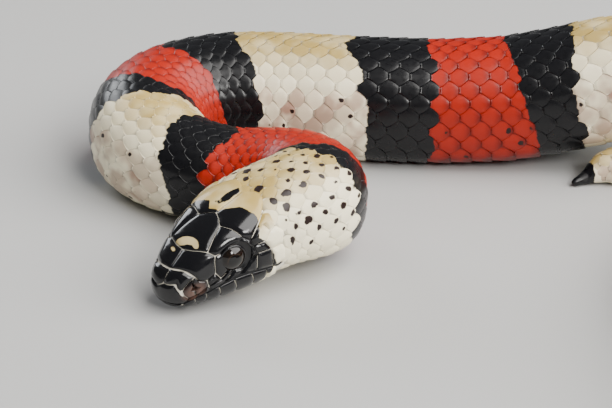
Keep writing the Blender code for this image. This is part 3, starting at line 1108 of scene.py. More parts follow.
def scale_shape():
    """Points of one scale, how far to the side each lies, its faces, and how many of them are underside."""
    rows, columns = len(SCALE_ALONG), len(SCALE_ACROSS)
    u, v = np.meshgrid(SCALE_ALONG, SCALE_ACROSS, indexing="ij")
    half_width = SCALE_HALF_WIDTH[:, None]
    w = v * half_width
    lift = np.interp(u, [SCALE_ALONG[0], CREST, SCALE_ALONG[-1]],
                     [TOP_AT_BASE, TOP_AT_CREST, TOP_AT_CREST - TIP_BEND])
    lift = lift - SCALE_DOME * v * v * np.minimum(half_width + FLAT_AT_TIP, 1)
    order = np.arange(rows * columns).reshape(rows, columns)
    loop = np.concatenate([order[:, 0], order[-1, 1:], order[-2::-1, -1], order[0, -2:0:-1]])
    rim_u = u.ravel()[loop] * RIM_FLARE
    rim_w = w.ravel()[loop] * RIM_FLARE
    rim_lift = np.maximum(lift.ravel()[loop] - RIM_DROP, LOWEST_RIM)
    points = np.stack([
        np.concatenate([u.ravel(), rim_u, [0.0]]),
        np.concatenate([w.ravel(), rim_w, [0.0]]),
        np.concatenate([lift.ravel(), rim_lift, [UNDER_HEIGHT]]),
    ], -1)
    rim = rows * columns + np.arange(len(loop))
    after = np.roll(np.arange(len(loop)), -1)
    top = np.fliplr(grid_faces(rows, columns))
    walls = np.stack([loop[after], loop, rim, rim[after]], -1)[:, ::-1]
    middle = np.full(len(loop), len(points) - 1)
    under = np.stack([rim, rim[after], middle, np.full(len(loop), NO_CORNER)], -1)
    return points, points[:, 1] / SCALE_HALF_WIDTH.max(), np.concatenate([top, walls, under]), len(under)


SCALE, SCALE_SIDE, SCALE_FACES, SCALE_UNDER = scale_shape()
print("one scale:", len(SCALE), "points,", len(SCALE_FACES), "faces")

# %% [markdown]
# ## Where the scales lie
# The rings of scales are found by walking along the body a pitch at a time. Neighbouring rows are shifted by
# half a scale, and that alone gives the diamond pattern. Rows grow a little wider down the flank. Behind the
# head the scales start where the large shields end.

# %% The lattice of the back
ROW_EVEN, ROW_WIDENING = 0.92, 0.08
HEAD_EDGE_TURNS = [0, 0.10, 0.20, 0.28, 0.40, 0.52, 0.60, 0.74]
HEAD_EDGE_PLACES = [14.95, 15.8, 14.85, 14.95, 15.35, 14.8, 14.3, 13.6]


def ring_places():
    """Places of the rings of scales, half a pitch apart, from the head to the tip of the tail."""
    counted = np.concatenate([[0], np.cumsum(LINE_STEP / pitch_at(ALONG[1:]))])
    return np.interp(np.arange(0, counted[-1], 0.5), counted, ALONG)


HALF_RINGS = ring_places()


def row_turn(row, count):
    """Turn of a row's middle, and its width in turn."""
    even = (2 * row + 1) / count - 1
    turn = BACK_EDGE * (ROW_EVEN * even + ROW_WIDENING * even ** 3)
    return turn, 2 * BACK_EDGE / count * (ROW_EVEN + 3 * ROW_WIDENING * even ** 2)


def back_lattice(start, end):
    """Place, turn, width in turn, row, ring in halves and row count of each scale between two places."""
    found = []
    for half, place in enumerate(HALF_RINGS):
        if not start <= place < end:
            continue
        count = int(rows_at(place))
        for row in range(half % 2, count, 2):
            turn, width = row_turn(row, count)
            if place > np.interp(abs(turn), HEAD_EDGE_TURNS, HEAD_EDGE_PLACES):
                found.append((place, turn, width, row, half, count))
    return np.array(found)


print("rings of scales:", len(HALF_RINGS) // 2)

# %% [markdown]
# ## Flecks and smudges
# Each scale draws four random numbers: one moves the rings' edges on it, one sizes its fleck and its smudge,
# one says whether it has a fleck, and one shades it. Flecks lie on the pale neck, larger near the head.
# Smudges, and a few small flecks, lie low on the rings behind it. A smudge shows only on a pale ring.

# %% Flecks and smudges by rule
JITTER_CHANCE, SIZE_CHANCE, FLECK_CHANCE, SHADE_CHANCE = range(4)
# Each pair is where something fades in or out, in millimetres or in turns.
FLECK_START = (15.0, 16.0)
FLECK_END = (24.0, 26.0)
FLECK_SIDES = (0.45, 0.62)
FLECK_SIZE, FLECK_SPREAD = 0.20, 0.11
LARGE_PLACES = (17.5, 21.5)
LARGE_SIZE, LARGE_SPREAD = 0.04, 0.2
FLECK_SHARE, FLECK_SHARE_RISE = 0.72, 0.2
RISE_PLACES = (18, 21)
SMUDGE_PLACES = (48, 56)
SMUDGE_TOP = (0.28, 0.45)
SMUDGE_BOTTOM = (0.72, 0.8)
SMUDGE_LEAST = 0.35
FEW_SHARE = 0.22
FEW_SIZE, FEW_SPREAD = 0.08, 0.10


def neck_flecks(place, turn, chance):
    """Size of the dark fleck of each scale of the neck; a few have none."""
    size = FLECK_SIZE + FLECK_SPREAD * chance[:, SIZE_CHANCE]
    near_head = 1 - smoothstep(*LARGE_PLACES, place)
    size = size + near_head * (LARGE_SIZE + LARGE_SPREAD * (chance[:, SIZE_CHANCE] > 0.5))
    share = FLECK_SHARE + FLECK_SHARE_RISE * smoothstep(*RISE_PLACES, place)
    high = 1 - smoothstep(*FLECK_SIDES, np.abs(turn))
    on_neck = smoothstep(*FLECK_START, place) * (1 - smoothstep(*FLECK_END, place))
    return np.where(chance[:, FLECK_CHANCE] < share, size, 0.0) * high * on_neck


def flank_marks(place, turn, chance):
    """Strength of the smudge, and size of the fleck, of each scale low on the rings."""
    flank = smoothstep(*SMUDGE_TOP, np.abs(turn)) * (1 - smoothstep(*SMUDGE_BOTTOM, np.abs(turn)))
    strength = smoothstep(*SMUDGE_PLACES, place) * flank
    smudge = strength * (SMUDGE_LEAST + (1 - SMUDGE_LEAST) * chance[:, SIZE_CHANCE])
    few = (chance[:, FLECK_CHANCE] < FEW_SHARE) * (FEW_SIZE + FEW_SPREAD * chance[:, SIZE_CHANCE])
    return smudge, strength * few


print("flecks from", FLECK_START[0], "to", FLECK_END[1], "mm")

# %% [markdown]
# ## The records of the scales
# The rings' edges run partly with the line and partly with the scales: on each scale the edge moves only
# part of the way across it, and each scale is a little ahead or behind. That makes the small bumps of the
# real edges.

# %% Records of a set of scales
EDGE_JITTER = 0.15
EDGE_FREEDOM = 0.58
ALONG_SHIFT = 0.4
LEAST_ALONG = -0.2
SCALE_RECORD = np.clip(SCALE[:, 0] + ALONG_SHIFT, LEAST_ALONG, 1) * 2 - 1


def scale_records(place, turn, chance, point_places, point_turns):
    """The three records for every point of a set of scales."""
    jitter = (chance[:, JITTER_CHANCE] - 0.5) * 2 * EDGE_JITTER * pitch_at(place) * (place > HEAD_REACH)
    edge_places = (place + jitter)[:, None] + EDGE_FREEDOM * (point_places - place[:, None])
    edge_turns = turn[:, None] + EDGE_FREEDOM * (point_turns - turn[:, None])
    black, red = marks_at(edge_places, edge_turns)
    tan = np.broadcast_to(back_tan(turn)[:, None], black.shape)
    marks = np.stack([black, red, tan], -1).reshape(-1, 3)
    shades = np.repeat(chance[:, SHADE_CHANCE], len(SCALE))
    plate = np.stack([np.tile(SCALE_RECORD, len(place)), np.tile(SCALE_SIDE, len(place)), shades], -1)
    smudge, few = flank_marks(place, turn, chance)
    fleck = np.maximum(neck_flecks(place, turn, chance), few)
    flecks = np.repeat(np.stack([fleck, smudge, 0 * fleck], -1), len(SCALE), axis=0)
    return marks, plate, flecks


print("along one scale:", np.round([SCALE_RECORD.min(), SCALE_RECORD.max()], 2))

# %% [markdown]
# ## Laying the scales
# All the scales between two places become one mesh. On the bake map each scale is its own patch, at its
# root's place on the unrolled skin: the ring along the body, the row round it. Its underside, which nobody
# sees, takes a narrow strip beside the patch.

# %% Laying scales
BAKE_FILL = 0.86
CELL_LENGTH = 1.24
CELL_WIDTH = 1.80
UNDER_CORNER = 0.93
UNDER_STRIP = 0.05
SPARE_RINGS = 1.5
BODY_PIECES = [13, 62, 125, 190, 255, 320, 385, 450, 515, 580, 650, 731, 795, 845.5]
SCALE_SEED = 100


def cell_map(half, row, rows):
    """Bake places of the corners of every face of a set of scales."""
    u = SCALE[:, 0] / CELL_LENGTH + 0.5
    v = SCALE[:, 1] / CELL_WIDTH + 0.5
    inside = np.stack([u, v], -1) * BAKE_FILL
    under = np.stack([UNDER_CORNER + UNDER_STRIP * (u - 0.5), v], -1)
    corners = np.where(SCALE_FACES == NO_CORNER, 0, SCALE_FACES)
    local = inside[corners]
    local[-SCALE_UNDER:] = under[corners[-SCALE_UNDER:]]
    ring_share = 1 / ((half.max() - half.min()) / 2 + SPARE_RINGS)
    place = np.stack([(half - half.min()) / 2 * ring_share, row / rows], -1)
    size = np.stack([np.full(len(half), ring_share), 1 / rows], -1)
    return (place[:, None, None] + local[None] * size[:, None, None]).reshape(-1, 4, 2)


def lay_scales(name, lattice, seed):
    place, turn, width, row, half, rows = lattice.T
    chance = np.random.default_rng(seed).random((len(place), 4))
    point_places = place[:, None] + SCALE[:, 0] * pitch_at(place)[:, None]
    point_turns = turn[:, None] + SCALE[:, 1] * width[:, None]
    depth = width * half_girth(place) * DEPTH_PER_WIDTH
    points = over_body(point_places, point_turns, SCALE[:, 2] * depth[:, None]).reshape(-1, 3)
    first = np.arange(len(place)) * len(SCALE)
    faces = SCALE_FACES[None] + first[:, None, None]
    faces = np.where(SCALE_FACES[None] == NO_CORNER, NO_CORNER, faces).reshape(-1, 4)
    records = scale_records(place, turn, chance, point_places, point_turns)
    make_piece(name, points, faces, records, cell_map(half, row, rows), SCALE_FINISH)


for number, (start, end) in enumerate(zip(BODY_PIECES, BODY_PIECES[1:])):
    lay_scales(f"back_scales_{number + 1:02d}", back_lattice(start, end), SCALE_SEED + number)

# %% [markdown]
# ## One plate of the belly
# Under the snake lies one wide plate for every ring of scales. Its ends are tucked under the lowest row of
# the flank, and its hind edge is bowed. As with the scales, one plate is worked out as a grid with a
# turned-down rim: its length is counted in pitches, its width in shares of the belly.

# %% One belly plate
PLATE_ALONG = np.array([-0.62, -0.30, 0.05, 0.35, 0.52, 0.60])
PLATE_ACROSS = np.linspace(-1, 1, 25)
PLATE_BOW = 0.10
PLATE_CREST = 0.30
PLATE_LIFTS = [-0.95, -0.04, -0.02]
PLATE_ENDS = (0.82, 1.0)
PLATE_END_DROP = 0.55
PLATE_RIM_DROP = 0.6
PLATE_LOWEST = -1.2


def plate_shape():
    """Points of one belly plate, its faces, and how many of them are underside."""
    rows, columns = len(PLATE_ALONG), len(PLATE_ACROSS)
    u, v = np.meshgrid(PLATE_ALONG, PLATE_ACROSS, indexing="ij")
    bow = PLATE_BOW * (1 - v * v)
    lift = np.interp(u, [PLATE_ALONG[0], PLATE_CREST, PLATE_ALONG[-1]], PLATE_LIFTS)
    lift = lift - PLATE_END_DROP * smoothstep(*PLATE_ENDS, np.abs(v))
    order = np.arange(rows * columns).reshape(rows, columns)
    loop = np.concatenate([order[0], order[1:, -1], order[-1, -2::-1], order[-2:0:-1, 0]])
    top = np.stack([(u + bow * (u > 0)).ravel(), v.ravel(), lift.ravel()], -1)
    rim_lift = np.maximum(top[loop, 2] - PLATE_RIM_DROP, PLATE_LOWEST)
    rim = np.stack([top[loop, 0], top[loop, 1], rim_lift], -1)
    here = np.arange(len(loop))
    after = np.roll(here, -1)
    walls = np.stack([loop, rows * columns + here, rows * columns + after, loop[after]], -1)
    rim_of = {point: rows * columns + index for index, point in enumerate(loop)}
    front = [rim_of[point] for point in order[0]]
    rear = [rim_of[point] for point in order[-1]]
    under = np.stack([front[:-1], rear[:-1], rear[1:], front[1:]], -1)
    faces = np.concatenate([grid_faces(rows, columns), walls[:, ::-1], under[:, ::-1]])
    return np.concatenate([top, rim]), faces, len(under)


PLATE, PLATE_FACES, PLATE_UNDER = plate_shape()
print("one belly plate:", len(PLATE), "points,", len(PLATE_FACES), "faces")

# %% [markdown]
# ## Laying the belly plates
# The whole plates run from the throat to the vent. They are laid like the scales, one piece for each length
# of the body, and on the bake map each plate is one lane.

# %% Belly plates
BELLY_START = 21.0
VENT_PLACE = 731.0
PLATE_REACH = 1.10
BELLY_PIECES = [BELLY_START, 125, 255, 385, 515, 625, VENT_PLACE - 1.5]
BELLY_SEED = 300
PLATE_ALONG_SHIFT = 0.1
PLATE_SIDE_SHARE = 0.8
LANE_LENGTH = 1.4
LANE_FILL = 0.88
LANE_UNDER, LANE_UNDER_WIDTH = 0.90, 0.04
LANE_HALF = 0.48


def plate_bake(share, ring):
    """Bake places: a lane for each ring, with the underside in a narrow strip at the lane's end."""
    lane = (ring - ring.min())[:, None, None]
    long = PLATE[PLATE_FACES][..., 0][None]
    u = lane + (long / LANE_LENGTH + 0.5) * LANE_FILL
    u[:, -PLATE_UNDER:] = lane + LANE_UNDER + LANE_UNDER_WIDTH * (long[:, -PLATE_UNDER:] > 0)
    v = 0.5 + LANE_HALF * share[:, PLATE_FACES] / PLATE_REACH
    return np.stack([u / (ring.max() - ring.min() + 1), v], -1).reshape(-1, 4, 2)


def lay_plates(name, rows, seed):
    """Plates from rows of place, length in pitches, middle and half width in shares of the belly, ring."""
    place, length, middle, half_width, ring = np.array(rows).T
    chance = np.random.default_rng(seed).random((len(place), 4))
    pitch = pitch_at(place) * length
    share = middle[:, None] + PLATE[:, 1] * half_width[:, None]
    point_turns = 1 + share * BELLY_SHARE
    point_places = place[:, None] + PLATE[:, 0] * pitch[:, None]
    points = over_body(point_places, point_turns, PLATE[:, 2] * coat_depth(place)[:, None]).reshape(-1, 3)
    wrapped = (point_turns + 1) % 2 - 1
    jitter = (chance[:, :1] - 0.5) * EDGE_JITTER * pitch[:, None]
    black, red = marks_at(np.broadcast_to(place[:, None] + jitter, wrapped.shape), wrapped)
    marks = np.stack([black, red, 0 * red], -1).reshape(-1, 3)
    along = np.tile((PLATE[:, 0] + PLATE_ALONG_SHIFT) * 2, len(place))
    side = np.tile(PLATE[:, 1] * PLATE_SIDE_SHARE, len(place))
    plate = np.stack([along, side, np.repeat(chance[:, SHADE_CHANCE], len(PLATE))], -1)
    faces = (PLATE_FACES[None] + (np.arange(len(place)) * len(PLATE))[:, None, None]).reshape(-1, 4)
    make_piece(name, points, faces, (marks, plate, np.zeros_like(marks)), plate_bake(share, ring),
               BELLY_FINISH)


whole_rings = HALF_RINGS[::2]
for number, (start, end) in enumerate(zip(BELLY_PIECES, BELLY_PIECES[1:])):
    rows = [(place, 1.0, 0.0, PLATE_REACH, ring) for ring, place in enumerate(whole_rings)
            if start <= place < end]
    lay_plates(f"belly_plates_{number + 1:02d}", rows, BELLY_SEED + number)
print("belly plates:", int(((whole_rings >= BELLY_START) & (whole_rings < BELLY_PIECES[-1])).sum()))

# %% [markdown]
# ## The plates of the tail
# A single larger plate covers the vent. Behind it the plates are split in two, and the halves of the two
# sides are half a pitch apart, so they meet in a zigzag line down to the tail's tip.

# %% Tail plates
VENT_SHIFT = 0.5
VENT_LENGTH = 1.7
HALF_PLATES_START, HALF_PLATES_END = VENT_PLACE + 3.5, 842.5
HALF_PLATE_OVERLAP = 0.06
TAIL_SEED = 310


def tail_rows():
    middle = 0.5 * PLATE_REACH - HALF_PLATE_OVERLAP / 2
    half_width = 0.5 * PLATE_REACH + HALF_PLATE_OVERLAP
    first_ring = int(np.searchsorted(HALF_RINGS, VENT_PLACE)) // 2
    rows = [(VENT_PLACE + VENT_SHIFT, VENT_LENGTH, 0.0, 1.0, 0)]
    for half, place in enumerate(HALF_RINGS):
        if HALF_PLATES_START < place < HALF_PLATES_END:
            side = 1 if half % 2 else -1
            rows.append((place, 1.0, side * middle, half_width, half // 2 - first_ring))
    return rows


lay_plates("tail_plates", tail_rows(), TAIL_SEED)
print("half plates:", len(tail_rows()) - 1)

# %% [markdown]
# ## The tip of the tail
# The tail ends in one smooth pointed cap, whose front edge is tucked under the last scales.

# %% Tail tip
TIP_START = 842.3
TIP_SIDES = 32
TIP_RINGS = 18
TIP_TUCK = 0.25
TIP_TUCK_LENGTH = 1.2
TIP_MARGIN = 0.01


def add_tail_tip():
    places = np.concatenate([np.linspace(TIP_START, BODY_LENGTH - TAIL_ROUND, TIP_RINGS), TAIL_PLACES[1:]])
    turns = np.linspace(-1, 1, TIP_SIDES + 1)
    place, turn = np.meshgrid(places, turns, indexing="ij")
    height = -TIP_TUCK * (1 - smoothstep(0, TIP_TUCK_LENGTH, place - TIP_START))
    points = over_body(place, turn, height).reshape(-1, 3)
    black, red = marks_at(place, turn)
    marks = np.stack([black, red, 0 * red], -1).reshape(-1, 3)
    plain = np.zeros_like(marks)
    flat = np.stack([(place - TIP_START) / (BODY_LENGTH - TIP_START), (turn + 1) / 2], -1).reshape(-1, 2)
    make_piece("tail_tip", points, grid_faces(len(places), TIP_SIDES + 1), (marks, plain, plain),
               flat * (1 - 2 * TIP_MARGIN) + TIP_MARGIN, SCALE_FINISH)


add_tail_tip()

# %% [markdown]
# ## The scales of the throat
# Behind the chin shields the throat has small scales of the same kind as the back, laid in rows across the
# underside. They start where the chin shields end, which is further back at the sides.

# %% Throat scales
THROAT_ROWS = 9
THROAT_START, THROAT_END = 9.6, 23.5
CHIN_EDGE_SHARES = [0, 0.45, 0.75, 1.0]
CHIN_EDGE_PLACES = [9.9, 10.9, 12.4, 13.8]
OUTER_SHARE = 0.9
OUTER_START = 14.2
THROAT_SEED = 320


def throat_lattice():
    """The same columns as back_lattice; the share runs from -1 to 1 across the belly."""
    found = []
    for half, place in enumerate(HALF_RINGS):
        if not THROAT_START <= place < THROAT_END:
            continue
        for row in range(half % 2, THROAT_ROWS, 2):
            share = (2 * row + 1) / THROAT_ROWS - 1
            off_chin = place > np.interp(abs(share), CHIN_EDGE_SHARES, CHIN_EDGE_PLACES)
            if off_chin and (abs(share) < OUTER_SHARE or place > OUTER_START):
                width = 2 * BELLY_SHARE / THROAT_ROWS
                found.append((place, 1 + share * BELLY_SHARE, width, row, half, THROAT_ROWS))
    return np.array(found)


lay_scales("throat_scales", throat_lattice(), THROAT_SEED)

# %% [markdown]
# ## Charts of the head
# The head wears large shields in a fixed pattern, and each one is drawn on a flat chart from its corners. A
# chart's two axes both count millimetres, so that gaps and rounded corners come out even. On the tip of the
# snout, where the map runs to a point, the chart is round, with the tip in its middle.

# %% Charts
CHART_SCALE = 16.5
SNOUT_CHART = 2.6


def flat_chart(points):
    return points * np.array([1.0, CHART_SCALE])


def from_flat_chart(points):
    return points / np.array([1.0, CHART_SCALE])


def round_chart(points):
    place, turn = points[..., 0], points[..., 1]
    part = np.sqrt(1 - (1 - np.minimum(place / SNOUT_ROUND, 1)) ** 2)
    radius = np.where(place < SNOUT_ROUND, SNOUT_CHART * part, SNOUT_CHART + place - SNOUT_ROUND)
    return np.stack([radius * np.sin(np.pi * turn), radius * np.cos(np.pi * turn)], -1)


def from_round_chart(points):
    radius = np.hypot(points[..., 0], points[..., 1])
    part = np.minimum(radius / SNOUT_CHART, 1)
    inner = SNOUT_ROUND * (1 - np.sqrt(1 - part ** 2))
    place = np.where(radius < SNOUT_CHART, inner, SNOUT_ROUND + radius - SNOUT_CHART)
    return np.stack([place, np.arctan2(points[..., 0], points[..., 1]) / np.pi], -1)


print("one whole turn on the flat chart:", 2 * CHART_SCALE, "mm")

# %% [markdown]
# ## The outline of a shield
# The outline is divided into small steps, its corners are rounded by averaging, and it is drawn in a little,
# so that a pale line of skin shows between neighbours. It always runs counterclockwise on its chart. The
# shields of the snout's top sit a little askew: set back on the left, and moved towards the left.

# %% Outlines
OUTLINE_STEP = 0.14
ROUNDINGS = 2
SHIELD_GAP = 0.055
SNOUT_SKEW = 0.13
SKEW_SIDES = (0.26, 0.38)
SKEW_PLACES = (4, 11)
SNOUT_SHIFT = 0.06
SHIFT_SIDES = (0.2, 0.5)
SHIFT_LENGTH = 2.5
FOREMOST = 0.1


def settled(corners):
    """Corners of a shield, moved with the askew top of the snout."""
    place, turn = np.array(corners, float).T
    on_top = 1 - smoothstep(*SKEW_SIDES, np.abs(turn))
    skewed = SNOUT_SKEW * turn * CHART_SCALE * on_top * (1 - smoothstep(*SKEW_PLACES, place))
    shifted = SNOUT_SHIFT * np.exp(-place / SHIFT_LENGTH) * (1 - smoothstep(*SHIFT_SIDES, np.abs(turn)))
    return np.stack([np.maximum(place + skewed, FOREMOST), turn + shifted], -1)


def crosses(outline):
    """Twice the area between the chart's middle and each step; their sum is positive counterclockwise."""
    after = np.roll(outline, -1, axis=0)
    return outline[:, 0] * after[:, 1] - after[:, 0] * outline[:, 1]


def outline_of(loop):
    pieces = []
    for corner, following in zip(loop, np.roll(loop, -1, axis=0)):
        count = max(int(np.ceil(np.linalg.norm(following - corner) / OUTLINE_STEP)), 1)
        pieces.append(corner + (following - corner) * np.arange(count)[:, None] / count)
    outline = np.concatenate(pieces)
    for _ in range(ROUNDINGS):
        outline = (np.roll(outline, 1, axis=0) + 2 * outline + np.roll(outline, -1, axis=0)) / 4
    if crosses(outline).sum() < 0:
        outline = outline[::-1]
    edge = unit(np.roll(outline, -1, axis=0) - np.roll(outline, 1, axis=0))
    return outline + np.stack([-edge[:, 1], edge[:, 0]], -1) * SHIELD_GAP


def middle_of(outline):
    cross = crosses(outline)
    return ((outline + np.roll(outline, -1, axis=0)) * cross[:, None]).sum(0) / (3 * cross.sum())


print("gap between two shields:", 2 * SHIELD_GAP, "mm")

# %% [markdown]
# ## Cutting a shield
# Inside its outline a shield is filled with rings of faces round its middle. It is domed a little, its edge
# is turned down, and a wall and an underside close it.

# %% Cutting shields
SHIELD_RINGS = np.array([1.0, 0.95, 0.87, 0.76, 0.62, 0.46, 0.30, 0.15])
SHIELD_THICKNESS = 0.34
SHIELD_DOME = 0.10
SHIELD_EDGE_DROP = 0.12
SHIELD_EDGE_WIDTH = 0.4


def shield_faces(count):
    """Rings of the top, the fan at its middle, the wall, and the fan of the underside."""
    here = np.arange(count)
    after = (here + 1) % count
    blank = np.full(count, NO_CORNER)
    innermost = (len(SHIELD_RINGS) - 1) * count
    centre = len(SHIELD_RINGS) * count
    rim = centre + 1
    return np.concatenate([
        grid_faces(len(SHIELD_RINGS), count, closed=True),
        np.stack([innermost + here, innermost + after, np.full(count, centre), blank], -1),
        np.stack([here, rim + here, rim + after, after], -1),
        np.stack([rim + after, rim + here, np.full(count, rim + count), blank], -1),
    ])


def turned_over(faces):
    """The same faces seen from their other side."""
    return np.where(faces[:, 3:] == NO_CORNER, faces[:, [1, 0, 2, 3]], faces[:, ::-1])


def cut_shield(corners, on_snout):
    """Map points with heights, faces, and how many points are on top, of one shield."""
    to_chart, from_chart = (round_chart, from_round_chart) if on_snout else (flat_chart, from_flat_chart)
    outline = outline_of(to_chart(settled(corners)))
    middle = middle_of(outline)
    share = SHIELD_RINGS[:, None]
    rings = middle + (outline - middle)[None] * share[..., None]
    from_edge = np.linalg.norm(outline - middle, axis=1)[None] * (1 - share)
    turned_down = SHIELD_EDGE_DROP * (1 - smoothstep(0, SHIELD_EDGE_WIDTH, from_edge))
    lift = SHIELD_DOME * (1 - share ** 2) - turned_down
    top = np.concatenate([rings.reshape(-1, 2), middle[None]])
    under = np.concatenate([outline, middle[None]])
    heights = np.concatenate([lift.ravel(), [SHIELD_DOME], np.full(len(under), -SHIELD_THICKNESS)])
    faces = shield_faces(len(outline))
    # Seen from outside, the flat chart runs the other way round than the round one.
    faces = faces if on_snout else turned_over(faces)
    return from_chart(np.concatenate([top, under])), heights, faces, len(top)


print("a shield's top has", len(SHIELD_RINGS), "rings of points")

# %% [markdown]
# ## Laying shields
# Many shields become one piece. On the bake map each lies where it lies on the head, within a window of
# places and turns that fills the map. The undersides take a narrow strip beside them. The black shields of
# the snout are brownish on both sides.

# %% Laying shields
CROWN_TAN = (0.24, 0.36)
# The brown of the snout, as marks like those of the mask: place, turn, half length, half width, lean.
BROWN_MARKS = [(2.7, 0.48, 1.5, 1.2, 0), (2.7, -0.48, 1.5, 1.2, 0)]
TOP_FILL = 0.9
UNDER_START, UNDER_FILL = 0.91, 0.08


def mirrored(corners):
    return [(place, -turn) for place, turn in corners]


def shield_bake(flat, top_count, window):
    (low_place, high_place), (low_turn, high_turn) = window
    turn = flat[:, 1] % 2 if high_turn > 1 else flat[:, 1]
    u = (flat[:, 0] - low_place) / (high_place - low_place)
    v = (turn - low_turn) / (high_turn - low_turn)
    is_top = np.arange(len(flat)) < top_count
    return np.stack([np.where(is_top, TOP_FILL * u, UNDER_START + UNDER_FILL * u), v], -1)


def lay_shields(name, shields, seed, window):
    """One piece from pairs of a shield's corners and whether it is drawn on the round chart."""
    chance = np.random.default_rng(seed)
    flats, lifts, faces, bakes, plates = [], [], [], [], []
    first = 0
    for corners, on_snout in shields:
        flat, heights, own_faces, top_count = cut_shield(corners, on_snout)
        flats.append(flat)
        lifts.append(heights)
        faces.append(np.where(own_faces == NO_CORNER, NO_CORNER, own_faces + first))
        bakes.append(shield_bake(flat, top_count, window))
        plates.append(np.tile([0.0, 0.0, chance.random()], (len(flat), 1)))
        first += len(flat)
    place, turn = np.concatenate(flats).T
    turn = (turn + 1) % 2 - 1
    black, red = marks_at(place, turn)
    brown = in_marks(BROWN_MARKS, place, turn)
    marks = np.stack([black, red, 1 - smoothstep(*CROWN_TAN, np.abs(turn))], -1)
    flecks = np.stack([0 * brown, 0 * brown, brown], -1)
    points = over_body(place, turn, np.concatenate(lifts))
    make_piece(name, points, np.concatenate(faces), (marks, np.concatenate(plates), flecks),
               np.concatenate(bakes), SHIELD_FINISH)


print("the crown is tan as far as turn", CROWN_TAN[0])

# %% [markdown]
# ## The shields of the crown
# The names are the old names of a snake's shields. The crown has a pair behind the snout, a pair behind
# those, one long shield in the middle with one over each eye, and two large ones at the back. The lines
# between them were read where they can be seen, and mirrored to the far side.

# %% Shields of the crown
CROWN_SIDE = {
    "internasal": [(0.6, 0), (0.75, 0.20), (1.2, 0.375), (2.0, 0.33), (2.7, 0.315), (2.95, 0.315),
                   (2.4, 0.16), (2.1, 0)],
    "prefrontal": [(2.1, 0), (2.4, 0.16), (2.95, 0.315), (3.6, 0.385), (4.5, 0.435), (5.75, 0.42),
                   (5.8, 0.312), (6.0, 0.275), (5.6, 0.205), (4.9, 0.10), (4.6, 0)],
    "supraocular": [(5.6, 0.205), (6.0, 0.275), (6.9, 0.287), (7.9, 0.280), (8.9, 0.278), (9.7, 0.285),
                    (10.3, 0.275), (9.9, 0.18), (9.3, 0.105), (7.5, 0.15)],
    "parietal": [(9.3, 0.105), (9.9, 0.18), (10.3, 0.275), (11.0, 0.322), (12.3, 0.275), (14.4, 0.212),
                 (15.4, 0.17), (16.1, 0.13), (16.05, 0.07), (15.25, 0), (13.0, 0), (10.6, 0), (10.1, 0.05)],
}
CROWN_MIDDLE = [(4.6, 0), (4.9, 0.10), (5.6, 0.205), (7.5, 0.15), (9.3, 0.105), (10.1, 0.05), (10.6, 0),
                (10.1, -0.05), (9.3, -0.105), (7.5, -0.15), (5.6, -0.205), (4.9, -0.10)]
crown = [(CROWN_MIDDLE, False)]
for name, corners in CROWN_SIDE.items():
    on_snout = name == "internasal"
    crown.append((corners, on_snout))
    crown.append((mirrored(corners), on_snout))
lay_shields("crown_shields", crown, seed=401, window=((0.5, 17.0), (-0.36, 0.36)))

# %% [markdown]
# ## Round the eye and along the lips
# The shields beside the eye follow its rim, so their corners there are points of an oval, and the two halves
# of the nasal shield leave a round notch for the nostril. The shields of the lips follow the line of the
# mouth, which was worked out for the skin, and stay a little off it.

# %% Rims and lips
EYE_RIM_LONG, EYE_RIM_HIGH = 1.62, 0.100
NOSTRIL_RADIUS = 0.42
NOSTRIL_STRETCH = 1.1
LIP_GAP = 0.10
LIP_STEPS = 5


def eye_rim(first, last, steps=6):
    """Points on the rim of the eye between two angles; 0 is its back corner, 90 its lower edge."""
    angles = np.radians(np.linspace(first, last, steps))
    return [(EYE_RIM_PLACE + EYE_RIM_LONG * math.cos(angle), EYE_RIM_TURN + EYE_RIM_HIGH * math.sin(angle))
            for angle in angles]


def lip(first, last, side):
    """Points along the line of the mouth; side is -1 over it and +1 under it."""
    return [(place, float(mouth_turn(place) + side * LIP_GAP / half_girth(place)))
            for place in np.linspace(first, last, LIP_STEPS)]


def nostril_notch(first, last, steps=7):
    angles = np.radians(np.linspace(first, last, steps))
    long = NOSTRIL_STRETCH * NOSTRIL_RADIUS
    high = NOSTRIL_RADIUS / CHART_SCALE
    return [(NOSTRIL_PLACE + long * math.cos(angle), NOSTRIL_TURN + high * math.sin(angle))
            for angle in angles]


print("an eye's rim:", 2 * EYE_RIM_LONG, "mm long")

# %% [markdown]
# ## The shields of the sides
# The sides of the head have the nostril between two halves of one shield, one shield in front of the eye and
# two behind it, and seven shields along each lip. The snout shield closes the front.

